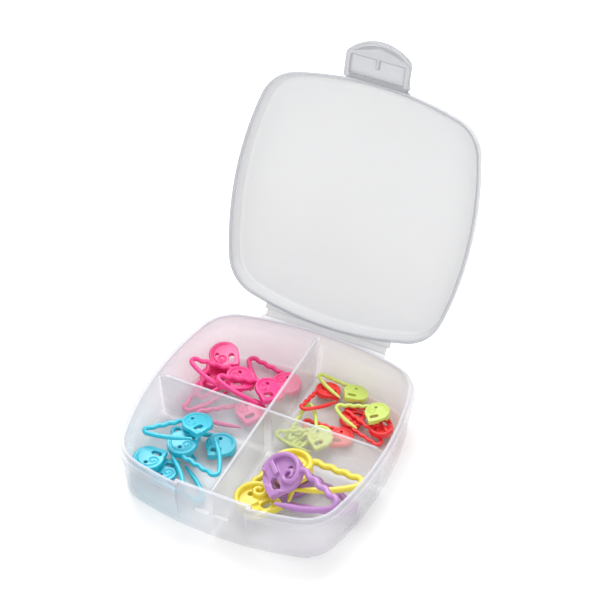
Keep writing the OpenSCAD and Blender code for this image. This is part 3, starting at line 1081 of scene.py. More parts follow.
@dataclass
class Tray:
    """The tray: tapered wall, band, ledge, lip, dividers, latch recess, catch and hinge flange.

    Each edge is a few pairs of rise and step, which say where its rings lie from its corner.

    Args:
        sizes: the case's shared sizes.
        foot: radius of the wall's foot, outside and inside.
        foot_steps: rings round the foot.
        wall_rows: rings up a wall, which keep its long faces even.
        band: height of the thick band below the ledge.
        band_step: how far the band stands out from the wall.
        rim_soft: rounding of the band's upper edge.
        ledge_edge: hollow where the ledge meets the lip.
        lip_edge: the lip's outer edge.
        mouth_edge: the lip's inner edge.
        divider_drop: how far the dividers' tops lie below the lip's.
        divider_dip: how far they dip where they meet the walls.
        divider_dip_run: length of the dip, in its own depth.
        divider_round: rounding of the dividers' edges.
        fillet: radius of the upright fillets where the dividers cross.
        fillet_drop: how far the fillets stop below the dividers' tops.
        recess_width: width of the latch recess.
        recess_round: rounding of its edges.
        backing_round: rounding of the thickening behind it.
        catch_width: length of the whole catch rib.
        catch_depth: how far it stands out.
        catch_nose: heights from its middle between which it stands out the most.
        catch_relief: how far its underside's edge steps back.
        wall_haze: haze of the outer wall, from 0 to 1.
        band_haze: haze of the band.
        painted_bleed_foot: share of the painted light bled from the markers' colour at the foot of the
            outer wall.
        painted_bleed_fall: how much less it is at the band.
        painted_bleed_inside: share on the inner faces.
        painted_bleed_haze: the faces that take any painted bleed, as the lowest and highest haze.
        painted_bleed_reach: distance over which a marker's painted bleed fades.
        catch_highlight: colour and strength of the painted highlight on the catch rib.
    """

    sizes: CaseSizes
    foot: float = 1.6
    foot_steps: int = 6
    wall_rows: int = 8
    band: float = 2.4
    band_step: float = 0.3
    rim_soft: float = 0.14
    ledge_edge: Pairs = ((0.0, -0.08), (0.08, 0.0))
    lip_edge: Pairs = ((-0.25, 0.0), (-0.07, 0.07), (0.0, 0.25))
    mouth_edge: Pairs = ((-0.2, 0.0), (-0.05, -0.06), (0.2, -0.22))
    divider_drop: float = 0.3
    divider_dip: float = 1.4
    divider_dip_run: float = 3.0
    divider_round: float = 0.28
    fillet: float = 1.2
    fillet_drop: float = 0.5
    recess_width: float = 22.8
    recess_round: float = 0.1
    backing_round: float = 0.12
    catch_width: float = 11.0
    catch_depth: float = 0.6
    catch_nose: tuple[float, float] = (0.1, -0.45)
    catch_relief: float = 0.15
    wall_haze: float = 0.36
    band_haze: float = 0.62
    painted_bleed_foot: float = 0.8
    painted_bleed_fall: float = 0.4
    painted_bleed_inside: float = 0.12
    painted_bleed_haze: tuple[float, float] = (0.1, 0.7)
    painted_bleed_reach: float = 12.0
    # painted highlight on the catch rib
    catch_highlight: tuple[float, float, float, float] = (0.98, 0.98, 1.0, 0.9)

    def __post_init__(self) -> None:
        """Work out the heights that follow from the sizes."""
        self.band_low = self.sizes.tray_height - self.band
        self.divider_top = self.sizes.rim_top - self.divider_drop

    def outer_inset(self, z: float | np.ndarray) -> float | np.ndarray:
        """How far the tray's outside stands in from the rim at a height."""
        return self.band_step + (self.sizes.lean - self.band_step) * (1 - z / self.band_low)

    def inner_inset(self, z: float) -> float:
        """How far the tray's inside stands in from the rim at a height."""
        size = self.sizes
        return size.lip_inset + (size.lean + size.wall - size.lip_inset) * (1 - z / size.tray_height)

    def outside(self) -> Levels:
        """The outside's levels, from the foot to the lip's top.

        Returns:
            Height and inset of each ring.
        """
        high, soft, step = self.sizes.tray_height, self.rim_soft, self.band_step
        wall = np.linspace(self.foot, self.band_low - step / 3, self.wall_rows)[1:]
        band_edge = ((0.0, step * 0.9), (step * 0.8, step / 6), (step * 1.3, 0.0))
        return [
            *((z, self.outer_inset(z) + extra) for z, extra in rounded(self.foot, self.foot_steps)),
            *((z, self.outer_inset(z)) for z in wall),
            *edge_levels(self.band_low, 0.0, band_edge),
            *edge_levels(high, 0.0, ((-soft, 0.0), (-soft / 3, soft / 3), (0.0, soft))),
            *edge_levels(high, self.sizes.ledge, self.ledge_edge),
            *edge_levels(self.sizes.rim_top, self.sizes.ledge, self.lip_edge),
        ]

    def inside(self) -> Levels:
        """The inside's levels, from the floor to just past the lip's top.

        Returns:
            Height and inset of each ring.
        """
        high, low = self.sizes.tray_height, self.sizes.floor
        wall = np.linspace(low + self.foot, high, self.wall_rows)[1:-1]
        return [
            *((low + z, self.inner_inset(low + z) + extra)
              for z, extra in rounded(self.foot, self.foot_steps)),
            *((z, self.inner_inset(z)) for z in wall),
            (high, self.sizes.lip_inset),
            *edge_levels(self.sizes.rim_top, self.sizes.lip_inset, self.mouth_edge),
        ]

    def divider_shape(self, length: float) -> Shape:
        """A divider along X whose top runs level and dips where it meets the walls.

        The dip falls by dip (1 - sin a) over a quarter turn.

        Args:
            length: distance between the outer walls.

        Returns:
            The divider, its edges rounded.
        """
        size, dip = self.sizes, self.divider_dip
        foot = length / 2 - size.lean - size.wall / 2
        head = length / 2 - size.lip_inset + OVERLAP
        bend = np.linspace(0, 1, 8)
        slope = np.column_stack([head - self.divider_dip_run * dip * bend,
                                 self.divider_top - dip * (1 - np.sin(bend * math.pi / 2))])
        right = np.vstack([[foot, size.floor / 2], slope])
        outline = np.vstack([right, (right * [-1, 1])[::-1]])
        flat = prism(outline, -size.divider / 2, size.divider / 2)
        return softened(flat.moved(turn(0, 90)), self.divider_round, segments=3)

    def fillet_shape(self) -> Shape:
        """The hollow-sided post where two dividers cross, in one quarter.

        Returns:
            The post, its corner at the crossing.
        """
        reach = self.sizes.divider / 2 + self.fillet
        arc = arc_points((reach, reach), self.fillet, np.radians(np.linspace(180, 270, 9)))
        outline = np.vstack([[[OVERLAP, OVERLAP]], [[reach, OVERLAP]], arc[::-1], [[OVERLAP, reach]]])
        return prism(outline, self.sizes.floor / 2, self.divider_top - self.fillet_drop)

    def add_dividers(self, piece: bpy.types.Object) -> None:
        """Join both dividers and the four fillets where they cross.

        Args:
            piece: the shell.
        """
        size = self.sizes
        combine(piece, self.divider_shape(size.plan.width).moved(shift(0, size.divider_y, 0)), Blend.JOIN)
        across = shift(size.divider_x, 0, 0) @ turn(2, 90)
        combine(piece, self.divider_shape(size.plan.depth).moved(across), Blend.JOIN)
        for quarter in range(4):
            crossing = shift(size.divider_x, size.divider_y, 0) @ turn(2, 90 * quarter)
            combine(piece, self.fillet_shape().moved(crossing), Blend.JOIN)

    def backing(self) -> Shape:
        """The thickening behind the latch recess, seen from the side and carried along X.

        Returns:
            The thickening, its edges rounded.
        """
        size = self.sizes
        back, front = size.recess_y + size.wall, size.recess_y - OVERLAP
        low, high = size.floor / 2, size.rim_top - HAIR
        section = np.array([[back, low], [back, high], [front, high], [front, size.tray_height / 2],
                            [size.recess_y + OVERLAP, low]])
        return softened(bar_along_x(section, self.recess_width + 2 * size.wall), self.backing_round)

    def cut_recess(self, piece: bpy.types.Object) -> None:
        """Cut the flat latch recess and join the catch rib, in two halves with a gap between.

        Args:
            piece: the shell.
        """
        size = self.sizes
        half = self.recess_width / 2
        hollow = block((-half, size.recess_y + size.front, -CLEAR),
                       (half, size.recess_y, size.rim_top + CLEAR))
        combine(piece, softened(hollow, self.recess_round), Blend.CUT)
        tall, deep = size.catch_height / 2, self.catch_depth
        nose_top, nose_foot = self.catch_nose
        rib = np.array([[OVERLAP, -tall], [OVERLAP, tall], [-deep / 2, tall], [-deep, nose_top],
                        [-deep, nose_foot], [self.catch_relief - deep, -tall]])
        rib = rib + [size.recess_y, size.catch_level]
        width = (self.catch_width - size.pocket_rib) / 2 - size.gap
        for side in (-1, 1):
            centre = side * ((self.catch_width + size.pocket_rib) / 4 + size.gap)
            combine(piece, bar_along_x(rib, width, centre), Blend.JOIN)

    def shell(self) -> bpy.types.Object:
        """Make the tray's solid.

        Returns:
            The object, not yet marked or dressed.
        """
        piece = self.sizes.plan.loft(self.outside()).solid("tray_shell")
        combine(piece, self.sizes.back_flange(self.sizes.tray_height - self.sizes.flange), Blend.JOIN)
        combine(piece, self.sizes.plan.loft(self.inside()), Blend.CUT)
        combine(piece, self.backing(), Blend.JOIN)
        self.add_dividers(piece)
        self.cut_recess(piece)
        gate_mark(piece, 0.0)
        return piece

    def on_catch(self, points: np.ndarray) -> np.ndarray:
        """Which points lie on the catch rib's own faces, clear of the recess behind it.

        Args:
            points: N by 3 places.

        Returns:
            N truths.
        """
        x, y, z = points.T
        size = self.sizes
        aside, ahead = 1.0, 0.1
        near = np.abs(x) < self.catch_width / 2 + aside
        level = np.abs(z - size.catch_level) < size.catch_height
        return near & level & (y < size.recess_y - ahead)

    def haze(self, points: np.ndarray) -> np.ndarray:
        """How cloudy each point is: some in the outer wall, more in its thick band, most on top edges.

        Args:
            points: N by 3 places.

        Returns:
            N amounts; above 1 and below 0 they count as 1 and 0.
        """
        x, y, z = points.T
        size = self.sizes
        near = size.plan.from_rim(points)
        wall = near < size.lean + size.wall + self.foot
        cross = np.minimum(np.abs(x - size.divider_x), np.abs(y - size.divider_y)) < size.divider
        within = (near > size.lip_inset) & (y > size.recess_y + size.wall / 2)
        haze = np.where(wall & ~(cross & within), self.wall_haze, 0.0)
        past_lip, full_rise = 0.3, self.divider_drop + 0.1
        haze = np.where((near < size.lip_inset + past_lip) & (z > self.band_low), self.band_haze, haze)
        top = (z - size.tray_height - size.lip_height / 2) / full_rise
        return np.maximum(np.where(self.on_catch(points), 1.0, haze), top)

    def painted_bleed_strength(self, points: np.ndarray, haze: np.ndarray) -> np.ndarray:
        """How strong the painted light bled from the markers' colour is: most outside, a little inside,
        none on edges.

        Args:
            points: N by 3 places.
            haze: N amounts of haze there.

        Returns:
            N strengths, from 0 to 1.
        """
        x, y, z = points.T
        size = self.sizes
        low = np.clip(z, 0, self.band_low)
        outside = size.plan.from_rim(points) < self.outer_inset(low) + size.wall / 2
        outside |= z < self.foot
        beside = 0.3
        outside |= (np.abs(x) < self.recess_width / 2 + beside) & (y < size.recess_y + size.wall / 2)
        fading = self.painted_bleed_foot - self.painted_bleed_fall * low / self.band_low
        strength = np.where(outside, fading, self.painted_bleed_inside)
        least, most = self.painted_bleed_haze
        return np.where((haze > least) & (haze < most), strength, 0.0)

    def paint_bleed_light(self, piece: bpy.types.Object, points: np.ndarray, strength: np.ndarray) -> None:
        """Write painted light: the markers' colour bled onto the cloudy plastic near them, and the catch
        rib's painted highlight.

        At a point it is sum(w * colour) / sum(w) over the markers, with w = exp(-(d / reach) ** 2)
        and d the distance to a marker's middle; its alpha is strength * (1 - exp(-sum(w))).

        Args:
            piece: the shell.
            points: N by 3 places of its points.
            strength: N strengths.
        """
        markers = [marker for part in COMPARTMENTS for marker in part.markers]
        middles = np.array([np.mean(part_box(marker.name), axis=0) / MM for marker in markers])
        colors = np.array([MARKER_FINISHES[marker.plastic].main for marker in markers])
        weight = np.exp(-(((points[:, None] - middles[None]) / self.painted_bleed_reach) ** 2).sum(-1))
        total = weight.sum(1)
        painted_light = np.empty((len(points), 4))
        painted_light[:, :3] = weight @ colors / np.maximum(total, 1e-6)[:, None]
        painted_light[:, 3] = strength * (1 - np.exp(-total))
        # painted highlight: the catch rib drawn near white
        painted_light[self.on_catch(points)] = self.catch_highlight
        mark = piece.data.attributes.new(PAINTED_BLEED_MARK, "FLOAT_COLOR", "POINT")
        mark.data.foreach_set("color", painted_light.ravel())

    def build(self, material: bpy.types.Material) -> None:
        """Make, mark and dress the tray.

        Args:
            material: the tray's plastic.
        """
        piece = self.shell()
        points = points_of(piece)
        haze = self.haze(points)
        write_mark(piece, HAZE_MARK, haze)
        # painted light: the markers' colour bled onto the walls, and the catch rib's painted highlight
        self.paint_bleed_light(piece, points, self.painted_bleed_strength(points, haze))
        set_down(piece, material, "base_tray", TRAY_BODY)


@dataclass
class Lid:
    """The lid: leaning skirt, rounded top edge, hinge flange and latch root.

    Args:
        sizes: the case's shared sizes.
        height: from the tray's ledge to the lid's top.
        top: thickness of the top.
        lean: how far the top's edge stands in from the skirt's foot.
        edge: radius of the rounded top edge.
        edge_steps: rings round it.
        foot_edge: the skirt's outer foot, as rise and step of each ring.
        mouth_edge: its inner foot.
        ceiling_step: how far the ceiling's edge stands in from the top's.
        root_round: rounding of the latch root.
    """

    sizes: CaseSizes
    height: float = 6.0
    top: float = 1.1
    lean: float = 0.8
    edge: float = 1.4
    edge_steps: int = 7
    foot_edge: Pairs = ((0.0, 0.12), (0.04, 0.04), (0.12, 0.01))
    mouth_edge: Pairs = ((-0.2, -0.1), (0.1, 0.0))
    ceiling_step: float = 0.2
    root_round: float = 0.12

    def __post_init__(self) -> None:
        """Work out the lid's height and its skirt's thickness."""
        self.high = self.sizes.tray_height + self.height
        self.skirt = self.sizes.ledge - self.sizes.gap

    def shell(self) -> bpy.types.Object:
        """Make the lid's solid, closed.

        Returns:
            The object, not yet opened or dressed.
        """
        size = self.sizes
        bend = rounded(self.edge, self.edge_steps)
        ceiling = self.high - self.top
        outside = edge_levels(size.lid_low, 0.0, self.foot_edge)
        outside += [(self.high - down, self.lean + extra) for extra, down in bend]
        inside = edge_levels(size.lid_low, self.skirt, self.mouth_edge)
        inside.append((size.rim_top + size.gap, self.skirt))
        inside += [(ceiling - down, self.lean + self.skirt + self.ceiling_step + extra)
                   for extra, down in bend]
        piece = size.plan.loft(outside).solid("lid_shell")
        combine(piece, size.back_flange(size.lid_flange_z), Blend.JOIN)
        half = size.flap_width / 2
        root = block((-half, size.front, size.lid_low),
                     (half, size.front + size.lip_inset, size.lid_low + 3 * size.web))
        combine(piece, softened(root, self.root_round), Blend.JOIN)
        combine(piece, size.plan.loft(inside), Blend.CUT)
        gate_mark(piece, self.high)
        return piece

    def build(self, material: bpy.types.Material) -> None:
        """Make the lid, mark its skirt from clear to cloudy at the foot, open it and dress it.

        Args:
            material: the lid's plastic.
        """
        size = self.sizes
        piece = self.shell()
        height = points_of(piece)[:, 2]
        write_mark(piece, HAZE_MARK, (size.rim_top - height) / (size.rim_top - size.lid_low))
        place(piece, size.opened)
        set_down(piece, material, "lid", LID_BODY)


@dataclass
class Flap:
    """The latch flap: arched plate, foot, curled finger lip, catch pocket and its small rib.

    It is worked out lying flat, with its axis along X, its free end towards -Y and its outside up.

    Args:
        sizes: the case's shared sizes.
        side: from the axis to where the arch starts.
        height: from the axis to the arch's top.
        thickness: of the plate.
        shoulder: radius of the shoulders.
        arch_count: points along the arch.
        shoulder_count: points along a shoulder, with the one that it shares with the arch.
        finger_lip: thickness of the lip that curls outwards.
        finger_rise: how far it stands up.
        lip_run: points over which each end of the lip sinks into the plate.
        lip_trim: outline points at each end that the lip's wall leaves out.
        lip_inset: how far that wall stands in from the plate's edge.
        pocket_width: width of the pocket that takes the catch rib.
        pocket_height: its height.
        pocket_depth: its depth.
        rib_length: length of the small rib in it.
        voxel: size of the skin's cells.
        frame_soft: distance over which the frame's mark sets in.
        shade_line_width: width of the painted shade line round the pocket.
        shade_line_core: where its fade starts from; what is above 1 gives it a fully dark middle.
        shade_line_strength: how dark it is.
    """

    sizes: CaseSizes
    side: float = 8.4
    height: float = 13.2
    thickness: float = 1.6
    shoulder: float = 2.4
    arch_count: int = 36
    shoulder_count: int = 10
    finger_lip: float = 1.5
    finger_rise: float = 1.4
    lip_run: int = 9
    lip_trim: int = 7
    lip_inset: float = 0.05
    pocket_width: float = 17.8
    pocket_height: float = 6.2
    pocket_depth: float = 0.8
    rib_length: float = 3.0
    voxel: float = 0.15
    frame_soft: float = 0.15
    shade_line_width: float = 0.18
    shade_line_core: float = 1.4
    shade_line_strength: float = 0.62

    def __post_init__(self) -> None:
        """Work out the plate's faces, the arch and where the pocket starts."""
        size = self.sizes
        self.inner = size.recess_y - size.gap - size.flap_hinge_y
        self.outer = self.inner - self.thickness
        rise = self.height - self.side
        self.arch_radius = ((size.flap_width / 2) ** 2 + rise**2) / (2 * rise)
        self.pocket_end = size.flap_hinge_z - size.catch_level + size.catch_height / 2 + size.gap

    def outline(self, inset: float) -> np.ndarray:
        """The flap's plan: straight sides, rounded shoulders and an arched top.

        The shoulder's circle touches the side and the arch from inside, so its centre lies on the
        arch's radius less its own.

        Args:
            inset: how far the plan is moved inwards.

        Returns:
            N by 2 points, anticlockwise; the last two are the foot.
        """
        half = self.sizes.flap_width / 2 - inset
        radius = self.arch_radius - inset
        bend = self.shoulder - inset / 2
        centre = self.arch_radius - self.sizes.flap_root - self.height
        side = half - bend
        lean = math.asin(side / (radius - bend))
        down = -math.pi / 2
        arch = arc_points((0.0, centre), radius, np.linspace(down - lean, down + lean, self.arch_count))
        low = centre - (radius - bend) * math.cos(lean)
        right = arc_points((side, low), bend, np.linspace(down + lean, 0, self.shoulder_count)[1:])
        left = (right * [-1, 1])[::-1]
        foot = np.array([[half, self.sizes.flap_foot], [-half, self.sizes.flap_foot]])
        return np.vstack([left, arch, right, foot])

    def foot_shape(self) -> Shape:
        """The foot that runs from the plate up to the web, seen from the side and carried along X.

        Returns:
            The foot.
        """
        size = self.sizes
        low = -size.flap_root - 2 * self.thickness
        section = np.array([[size.flap_foot, -self.inner], [size.flap_foot, -size.web / 4],
                            [-size.flap_root - size.web, -size.web / 4], [low, -self.outer],
                            [low, -self.inner]])
        return bar_along_x(section, size.flap_width)

    def add_finger_lip(self, piece: bpy.types.Object) -> None:
        """Join the curled lip, a tube over a thin wall, whose ends sink smoothly into the plate.

        The tube's height follows s * s * (3 - 2 * s), with s from 0 at each end to 1.

        Args:
            piece: the plate.
        """
        rise = -self.outer + self.finger_rise - self.finger_lip / 2
        arch = self.outline(self.finger_lip / 2)[:-2]
        along = np.arange(len(arch))
        ends = np.clip(np.minimum(along, along[::-1]) / self.lip_run, 0, 1)
        path = at_height(arch, rise - self.finger_rise * (1 - ends * ends * (3 - 2 * ends)))
        combine(piece, tube(path, np.full(len(path), self.finger_lip / 2), sides=20), Blend.JOIN, DRAFT)
        kept = slice(self.lip_trim, -self.lip_trim - 2)
        ring = np.vstack([self.outline(self.lip_inset)[kept], self.outline(self.finger_lip)[kept][::-1]])
        combine(piece, prism(ring, -self.outer - OVERLAP, rise), Blend.JOIN, DRAFT)

    def cut_pocket(self, piece: bpy.types.Object) -> None:
        """Cut the pocket on the inner side and join its small rib.

        Args:
            piece: the plate.
        """
        half, end, rib = self.pocket_width / 2, self.pocket_end, self.sizes.pocket_rib / 2
        top = -self.inner + self.pocket_depth
        past, root, drawn_in = 1.0, 0.3, 0.05
        pocket = block((-half, -end, -self.inner - past), (half, -end + self.pocket_height, top))
        combine(piece, pocket, Blend.CUT, DRAFT)
        small = block((-rib, -end - root, -self.inner + drawn_in),
                      (rib, -end + self.rib_length, top + OVERLAP))
        combine(piece, small, Blend.JOIN, DRAFT)

    def mark_frame(self, piece: bpy.types.Object) -> None:
        """Mark the thick frame round the pocket, and the painted shade line between the two.

        Args:
            piece: the flap, in millimetres.
        """
        x, y, _ = points_of(piece, DRAFT).T
        x, end = np.abs(x), self.pocket_end
        beyond = np.maximum(x - self.pocket_width / 2, np.maximum(-end - y, y + end - self.pocket_height))
        rib = np.maximum(x - self.sizes.pocket_rib / 2, y + end - self.rib_length)
        beyond = np.maximum(beyond, -rib)
        write_mark(piece, HAZE_MARK, beyond / self.frame_soft + 0.5)
        # painted shade: a dark line along the pocket's edges and its rib
        dark = np.clip(self.shade_line_core - np.abs(beyond) / self.shade_line_width, 0, 1)
        write_mark(piece, SHADE_LINE_MARK, dark * self.shade_line_strength)

    def build(self, material: bpy.types.Material) -> None:
        """Make, mark and dress the flap.

        Args:
            material: the flap's plastic.
        """
        piece = prism(self.outline(0), -self.inner, -self.outer).solid("latch_plate", DRAFT)
        combine(piece, self.foot_shape(), Blend.JOIN, DRAFT)
        self.add_finger_lip(piece)
        self.cut_pocket(piece)
        skinned(piece, self.voxel, 2)
        self.mark_frame(piece)
        place(piece, self.sizes.leaned, DRAFT)
        set_down(piece, material, "latch_flap", LATCH_BODY)


@dataclass
class Webs:
    """The two thin strips that bend: one between tray and lid, one between lid and flap.

    Args:
        sizes: the case's shared sizes.
        inset: how much shorter a strip is at each end than what it joins.
        sink: how far a strip's ends reach into what it joins.
        latch_sink: how far the latch's strip reaches into the lid.
        foot_level: where that strip meets the flap's foot, in its own thicknesses.
        bulge: how far the hinge's strip bends out and down halfway, as Y and Z.
        hinge_thinning: how much thinner the hinge's strip is halfway.
        latch_thinning: how much thinner the latch's strip is halfway.
    """

    sizes: CaseSizes
    inset: float = 0.8
    sink: float = 0.05
    latch_sink: float = 0.03
    foot_level: float = -0.75
    bulge: tuple[float, float] = (0.25, -0.45)
    hinge_thinning: float = 0.25
    latch_thinning: float = 0.2

    def strip(self, name: str, centre: np.ndarray, half_width: float, thinning: float) -> bpy.types.Object:
        """A strip along X whose side view follows a curve through two ends.

        The curve is (1 - t)^2 * start + 2 t (1 - t) * middle + t^2 * end, and the strip's half
        thickness is web / 2 * (1 - thinning * sin(pi t)).

        Args:
            name: the object's name.
            centre: start, middle and end as Y and Z, 3 by 2.
            half_width: half its length along X.
            thinning: how much thinner it is halfway.

        Returns:
            The object.
        """
        t = np.linspace(0, 1, 13)[:, None]
        line = (1 - t) ** 2 * centre[0] + 2 * t * (1 - t) * centre[1] + t**2 * centre[2]
        along = np.gradient(line, axis=0)
        along /= np.linalg.norm(along, axis=1)[:, None]
        normal = np.column_stack([-along[:, 1], along[:, 0]])
        half = self.sizes.web / 2 * (1 - thinning * np.sin(np.pi * t))
        section = np.vstack([line + normal * half, (line - normal * half)[::-1]])
        return bar_along_x(section[::-1], 2 * half_width).solid(name)

    def hinge_ends(self, sink: float) -> tuple[np.ndarray, np.ndarray]:
        """Where the hinge's strip starts on the tray and ends on the open lid.

        Args:
            sink: how far each end reaches in.

        Returns:
            Y and Z of both.
        """
        size = self.sizes
        edge = size.back - sink
        return (np.array([edge, size.tray_height - size.flange / 2]),
                size.lid_point(edge, size.lid_flange_z + size.flange / 2))

    def latch_ends(self, start_sink: float, end_sink: float) -> tuple[np.ndarray, np.ndarray]:
        """Where the latch's strip starts on the lid and ends on the flap.

        Args:
            start_sink: how far it reaches into the lid.
            end_sink: how far it reaches into the flap.

        Returns:
            Y and Z of both.
        """
        size = self.sizes
        return (size.lid_point(size.front + start_sink, size.lid_low + size.web),
                size.flap_point(size.flap_foot - end_sink, self.foot_level * size.web))

    def build(self, hinge_material: bpy.types.Material, latch_material: bpy.types.Material) -> None:
        """Make and dress both strips.

        Args:
            hinge_material: plastic of the hinge's strip.
            latch_material: plastic of the latch's strip, dark grey as painted shade.
        """
        size = self.sizes
        low, high = self.hinge_ends(self.sink)
        bent = np.array([low, (low + high) / 2 + np.array(self.bulge), high])
        half = size.hinge_width / 2 - self.inset
        strip = self.strip("hinge_strip", bent, half, self.hinge_thinning)
        finish_piece(strip, hinge_material)
        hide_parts("hinge_web")
        low, high = self.hinge_ends(0.0)
        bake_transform(strip)
        start, end = self.latch_ends(self.latch_sink, self.sink)
        straight = np.array([start, (start + end) / 2, end])
        half = size.flap_width / 2 - self.inset
        strip = self.strip("latch_strip", straight, half, self.latch_thinning)
        finish_piece(strip, latch_material)
        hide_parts("latch_web")
        start, end = self.latch_ends(0.0, 0.0)
        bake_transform(strip)


# The markers


@dataclass(frozen=True)
class Curl:
    """An arc about a head's middle that runs on into a curl about its own centre.

    Args:
        start: the arc's first angle in degrees; it runs clockwise to the curl centre's direction.
        centre: the curl's centre, in head radii.
        end: the curl's last radius.
        turns: how many degrees the curl turns while its radius shrinks evenly.
        arc_count: points along the arc.
        curl_count: points along the curl, with the one that it shares with the arc.
    """

    start: float
    centre: tuple[float, float]
    end: float
    turns: float
    arc_count: int = 48
    curl_count: int = 64

    def line(self, head_radius: float, wide: float) -> np.ndarray:
        """The points r (cos a, sin a) of both stretches.

        Args:
            head_radius: radius of the head.
            wide: radius of the arc.

        Returns:
            N by 2 points.
        """
        middle = head_radius * np.array(self.centre)
        meet = math.atan2(middle[1], middle[0])
        arc = np.linspace(math.radians(self.start), meet, self.arc_count)
        curl = np.linspace(meet, meet - math.radians(self.turns), self.curl_count)[1:]
        shrink = np.linspace(wide - np.linalg.norm(middle), self.end, self.curl_count)[1:]
        return np.vstack([arc_points((0.0, 0.0), wide, arc), arc_points(middle, shrink, curl)])


@dataclass
class MarkerShape:
    """A medium marker lying flat, its head's centre at the origin and its far turn along +X.

    Args:
        head_radius: radius of the round head.
        head_thickness: its thickness over the rim.
        head_low_edge: rounding of its back edge.
        head_top_edge: rounding of the dished side's edge.
        rim: width of the rim's bead.
        dish: thickness of the plate inside the rim.
        wire: thickness of the wire.
        eye: width of the small hole.
        eye_place: its middle, in head radii.
        beak: plan of the beak, in head radii.
        beak_height: its height, in head thicknesses.
        beak_sink: how far its foot lies above the head's back.
        beak_round: rounding of its edges.
        bar_width: width of the bar beside the slot, in rim widths.
        bar_round: rounding of its edges.
        ramp_inset: how far the ramp's high end stands in from the rim's middle line.
        slot_length: length of the slot that takes the pin.
        slot_width: its width.
        slot_turn: how far slot, bar and ramp are turned, in degrees.
        slot_x: X of the middle of the slot's round end, before that turn.
        slot_y: Y of the slot's middle line.
        scroll: course of the raised bead.
        scroll_end: its thickness at the end, as a share of the rim's.
        groove: course of the groove in the back.
        groove_run: points over which the groove widens at its start and narrows at its end.
        groove_half_widths: half its width at its start, after widening, before narrowing and at its end.
        root_angle: where the waved arm leaves the head, in degrees.
        arm_fall: how far the arm as a whole turns towards the pin, in degrees.
        wave_count: half waves in the arm.
        wave_angle: how far each one bends, in degrees.
        wave_radius: its radius.
        wave_steps: steps along it.
        turn_radius: radius of the far turn.
        turn_angle: how far it bends, in degrees, on a closed marker.
        turn_steps: steps along it.
        pin_radius: radius of the bowed pin.
        pin_angle: how far the pin bends, in degrees.
        pin_steps: steps along it.
        tip_length: length of the pin's straight tip.
        tip_radius: radius at its point.
        tip_power: how late it thins; 1 thins it evenly.
        tip_steps: steps along it.
        voxel: size of the skin's cells.
    """

    head_radius: float = 4.8
    head_thickness: float = 2.7
    head_low_edge: float = 0.35
    head_top_edge: float = 0.2
    rim: float = 1.2
    dish: float = 1.45
    wire: float = 1.5
    eye: float = 1.25
    eye_place: tuple[float, float] = (0.19, 0.4)
    beak: Pairs = ((-0.37, -0.92), (0.10, -1.15), (0.45, -1.25), (0.73, -0.66), (0.45, -0.70), (0.0, -0.82))
    beak_height: float = 0.75
    beak_sink: float = 0.05
    beak_round: float = 0.2
    bar_width: float = 0.9
    bar_round: float = 0.15
    ramp_inset: float = 0.4
    slot_length: float = 3.4
    slot_width: float = 1.7
    slot_turn: float = -22.0
    slot_x: float = 0.8
    slot_y: float = -2.45
    scroll: Curl = Curl(212.0, (0.46, 0.12), 0.5, 400.0)
    scroll_end: float = 0.68
    groove: Curl = Curl(175.0, (0.42, 0.0), 0.35, 430.0)
    groove_run: tuple[int, int] = (12, 7)
    groove_half_widths: tuple[float, ...] = (0.16, 0.36, 0.34, 0.22)
    root_angle: float = 57.0
    arm_fall: float = 3.0
    wave_count: int = 7
    wave_angle: float = 60.0
    wave_radius: float = 1.72
    wave_steps: int = 10
    turn_radius: float = 1.5
    turn_angle: float = 165.0
    turn_steps: int = 26
    pin_radius: float = 26.0
    pin_angle: float = 20.0
    pin_steps: int = 24
    tip_length: float = 4.8
    tip_radius: float = 0.35
    tip_power: float = 1.3
    tip_steps: int = 12
    voxel: float = 0.13

    def wire_path(self, opening: float) -> tuple[np.ndarray, np.ndarray]:
        """The waved arm, the far turn, the pin and its tip.

        The wire is a row of arcs, each with its radius, angle and number of steps. The heading bends
        evenly along an arc, and the place is the sum of short steps along the heading.

        Args:
            opening: how far the far turn is sprung open, in degrees.

        Returns:
            N by 3 places and N radii.
        """
        arcs = [(self.wave_radius, self.wave_angle * (-1) ** i, self.wave_steps)
                for i in range(self.wave_count)]
        arcs.append((self.turn_radius, opening - self.turn_angle, self.turn_steps))
        arcs.append((self.pin_radius, -self.pin_angle, self.pin_steps))
        tip = self.tip_steps
        bends = np.concatenate([*(np.full(n, math.radians(a) / n) for _, a, n in arcs), np.zeros(tip)])
        steps = np.concatenate([*(np.full(n, r * abs(math.radians(a)) / n) for r, a, n in arcs),
                                np.full(tip, self.tip_length / tip)])
        after = math.radians(-self.wave_angle / 2 - self.arm_fall) + np.cumsum(bends)
        middle = after - bends / 2
        walk = np.column_stack([steps * np.cos(middle), steps * np.sin(middle)])
        angle = math.radians(self.root_angle)
        root = (self.head_radius - self.wire / 2) * np.array([math.cos(angle), math.sin(angle)])
        path = at_height(root + np.vstack([[0, 0], np.cumsum(walk, axis=0)]), 0.0)
        radius = np.full(len(path), self.wire / 2)
        taper = np.linspace(0, 1, tip + 1) ** self.tip_power
        radius[-tip - 1:] = self.wire / 2 + (self.tip_radius - self.wire / 2) * taper
        return path, radius

    def head_profile(self) -> np.ndarray:
        """The head's plate from the side: flat on both faces, its edges quarter circles.

        Returns:
            Radius and height, N by 2, bottom to top.
        """
        high, low_edge, top_edge = self.head_thickness / 2, self.head_low_edge, self.head_top_edge
        floor = self.dish - high
        bend = np.linspace(0, np.pi / 2, 6)
        low = np.column_stack([self.head_radius - low_edge + low_edge * np.sin(bend),
                               -high + low_edge - low_edge * np.cos(bend)])
        top = arc_points((self.head_radius - top_edge, floor - top_edge), top_edge, bend)
        return np.vstack([[[0, -high]], low, top, [[0, floor]]])

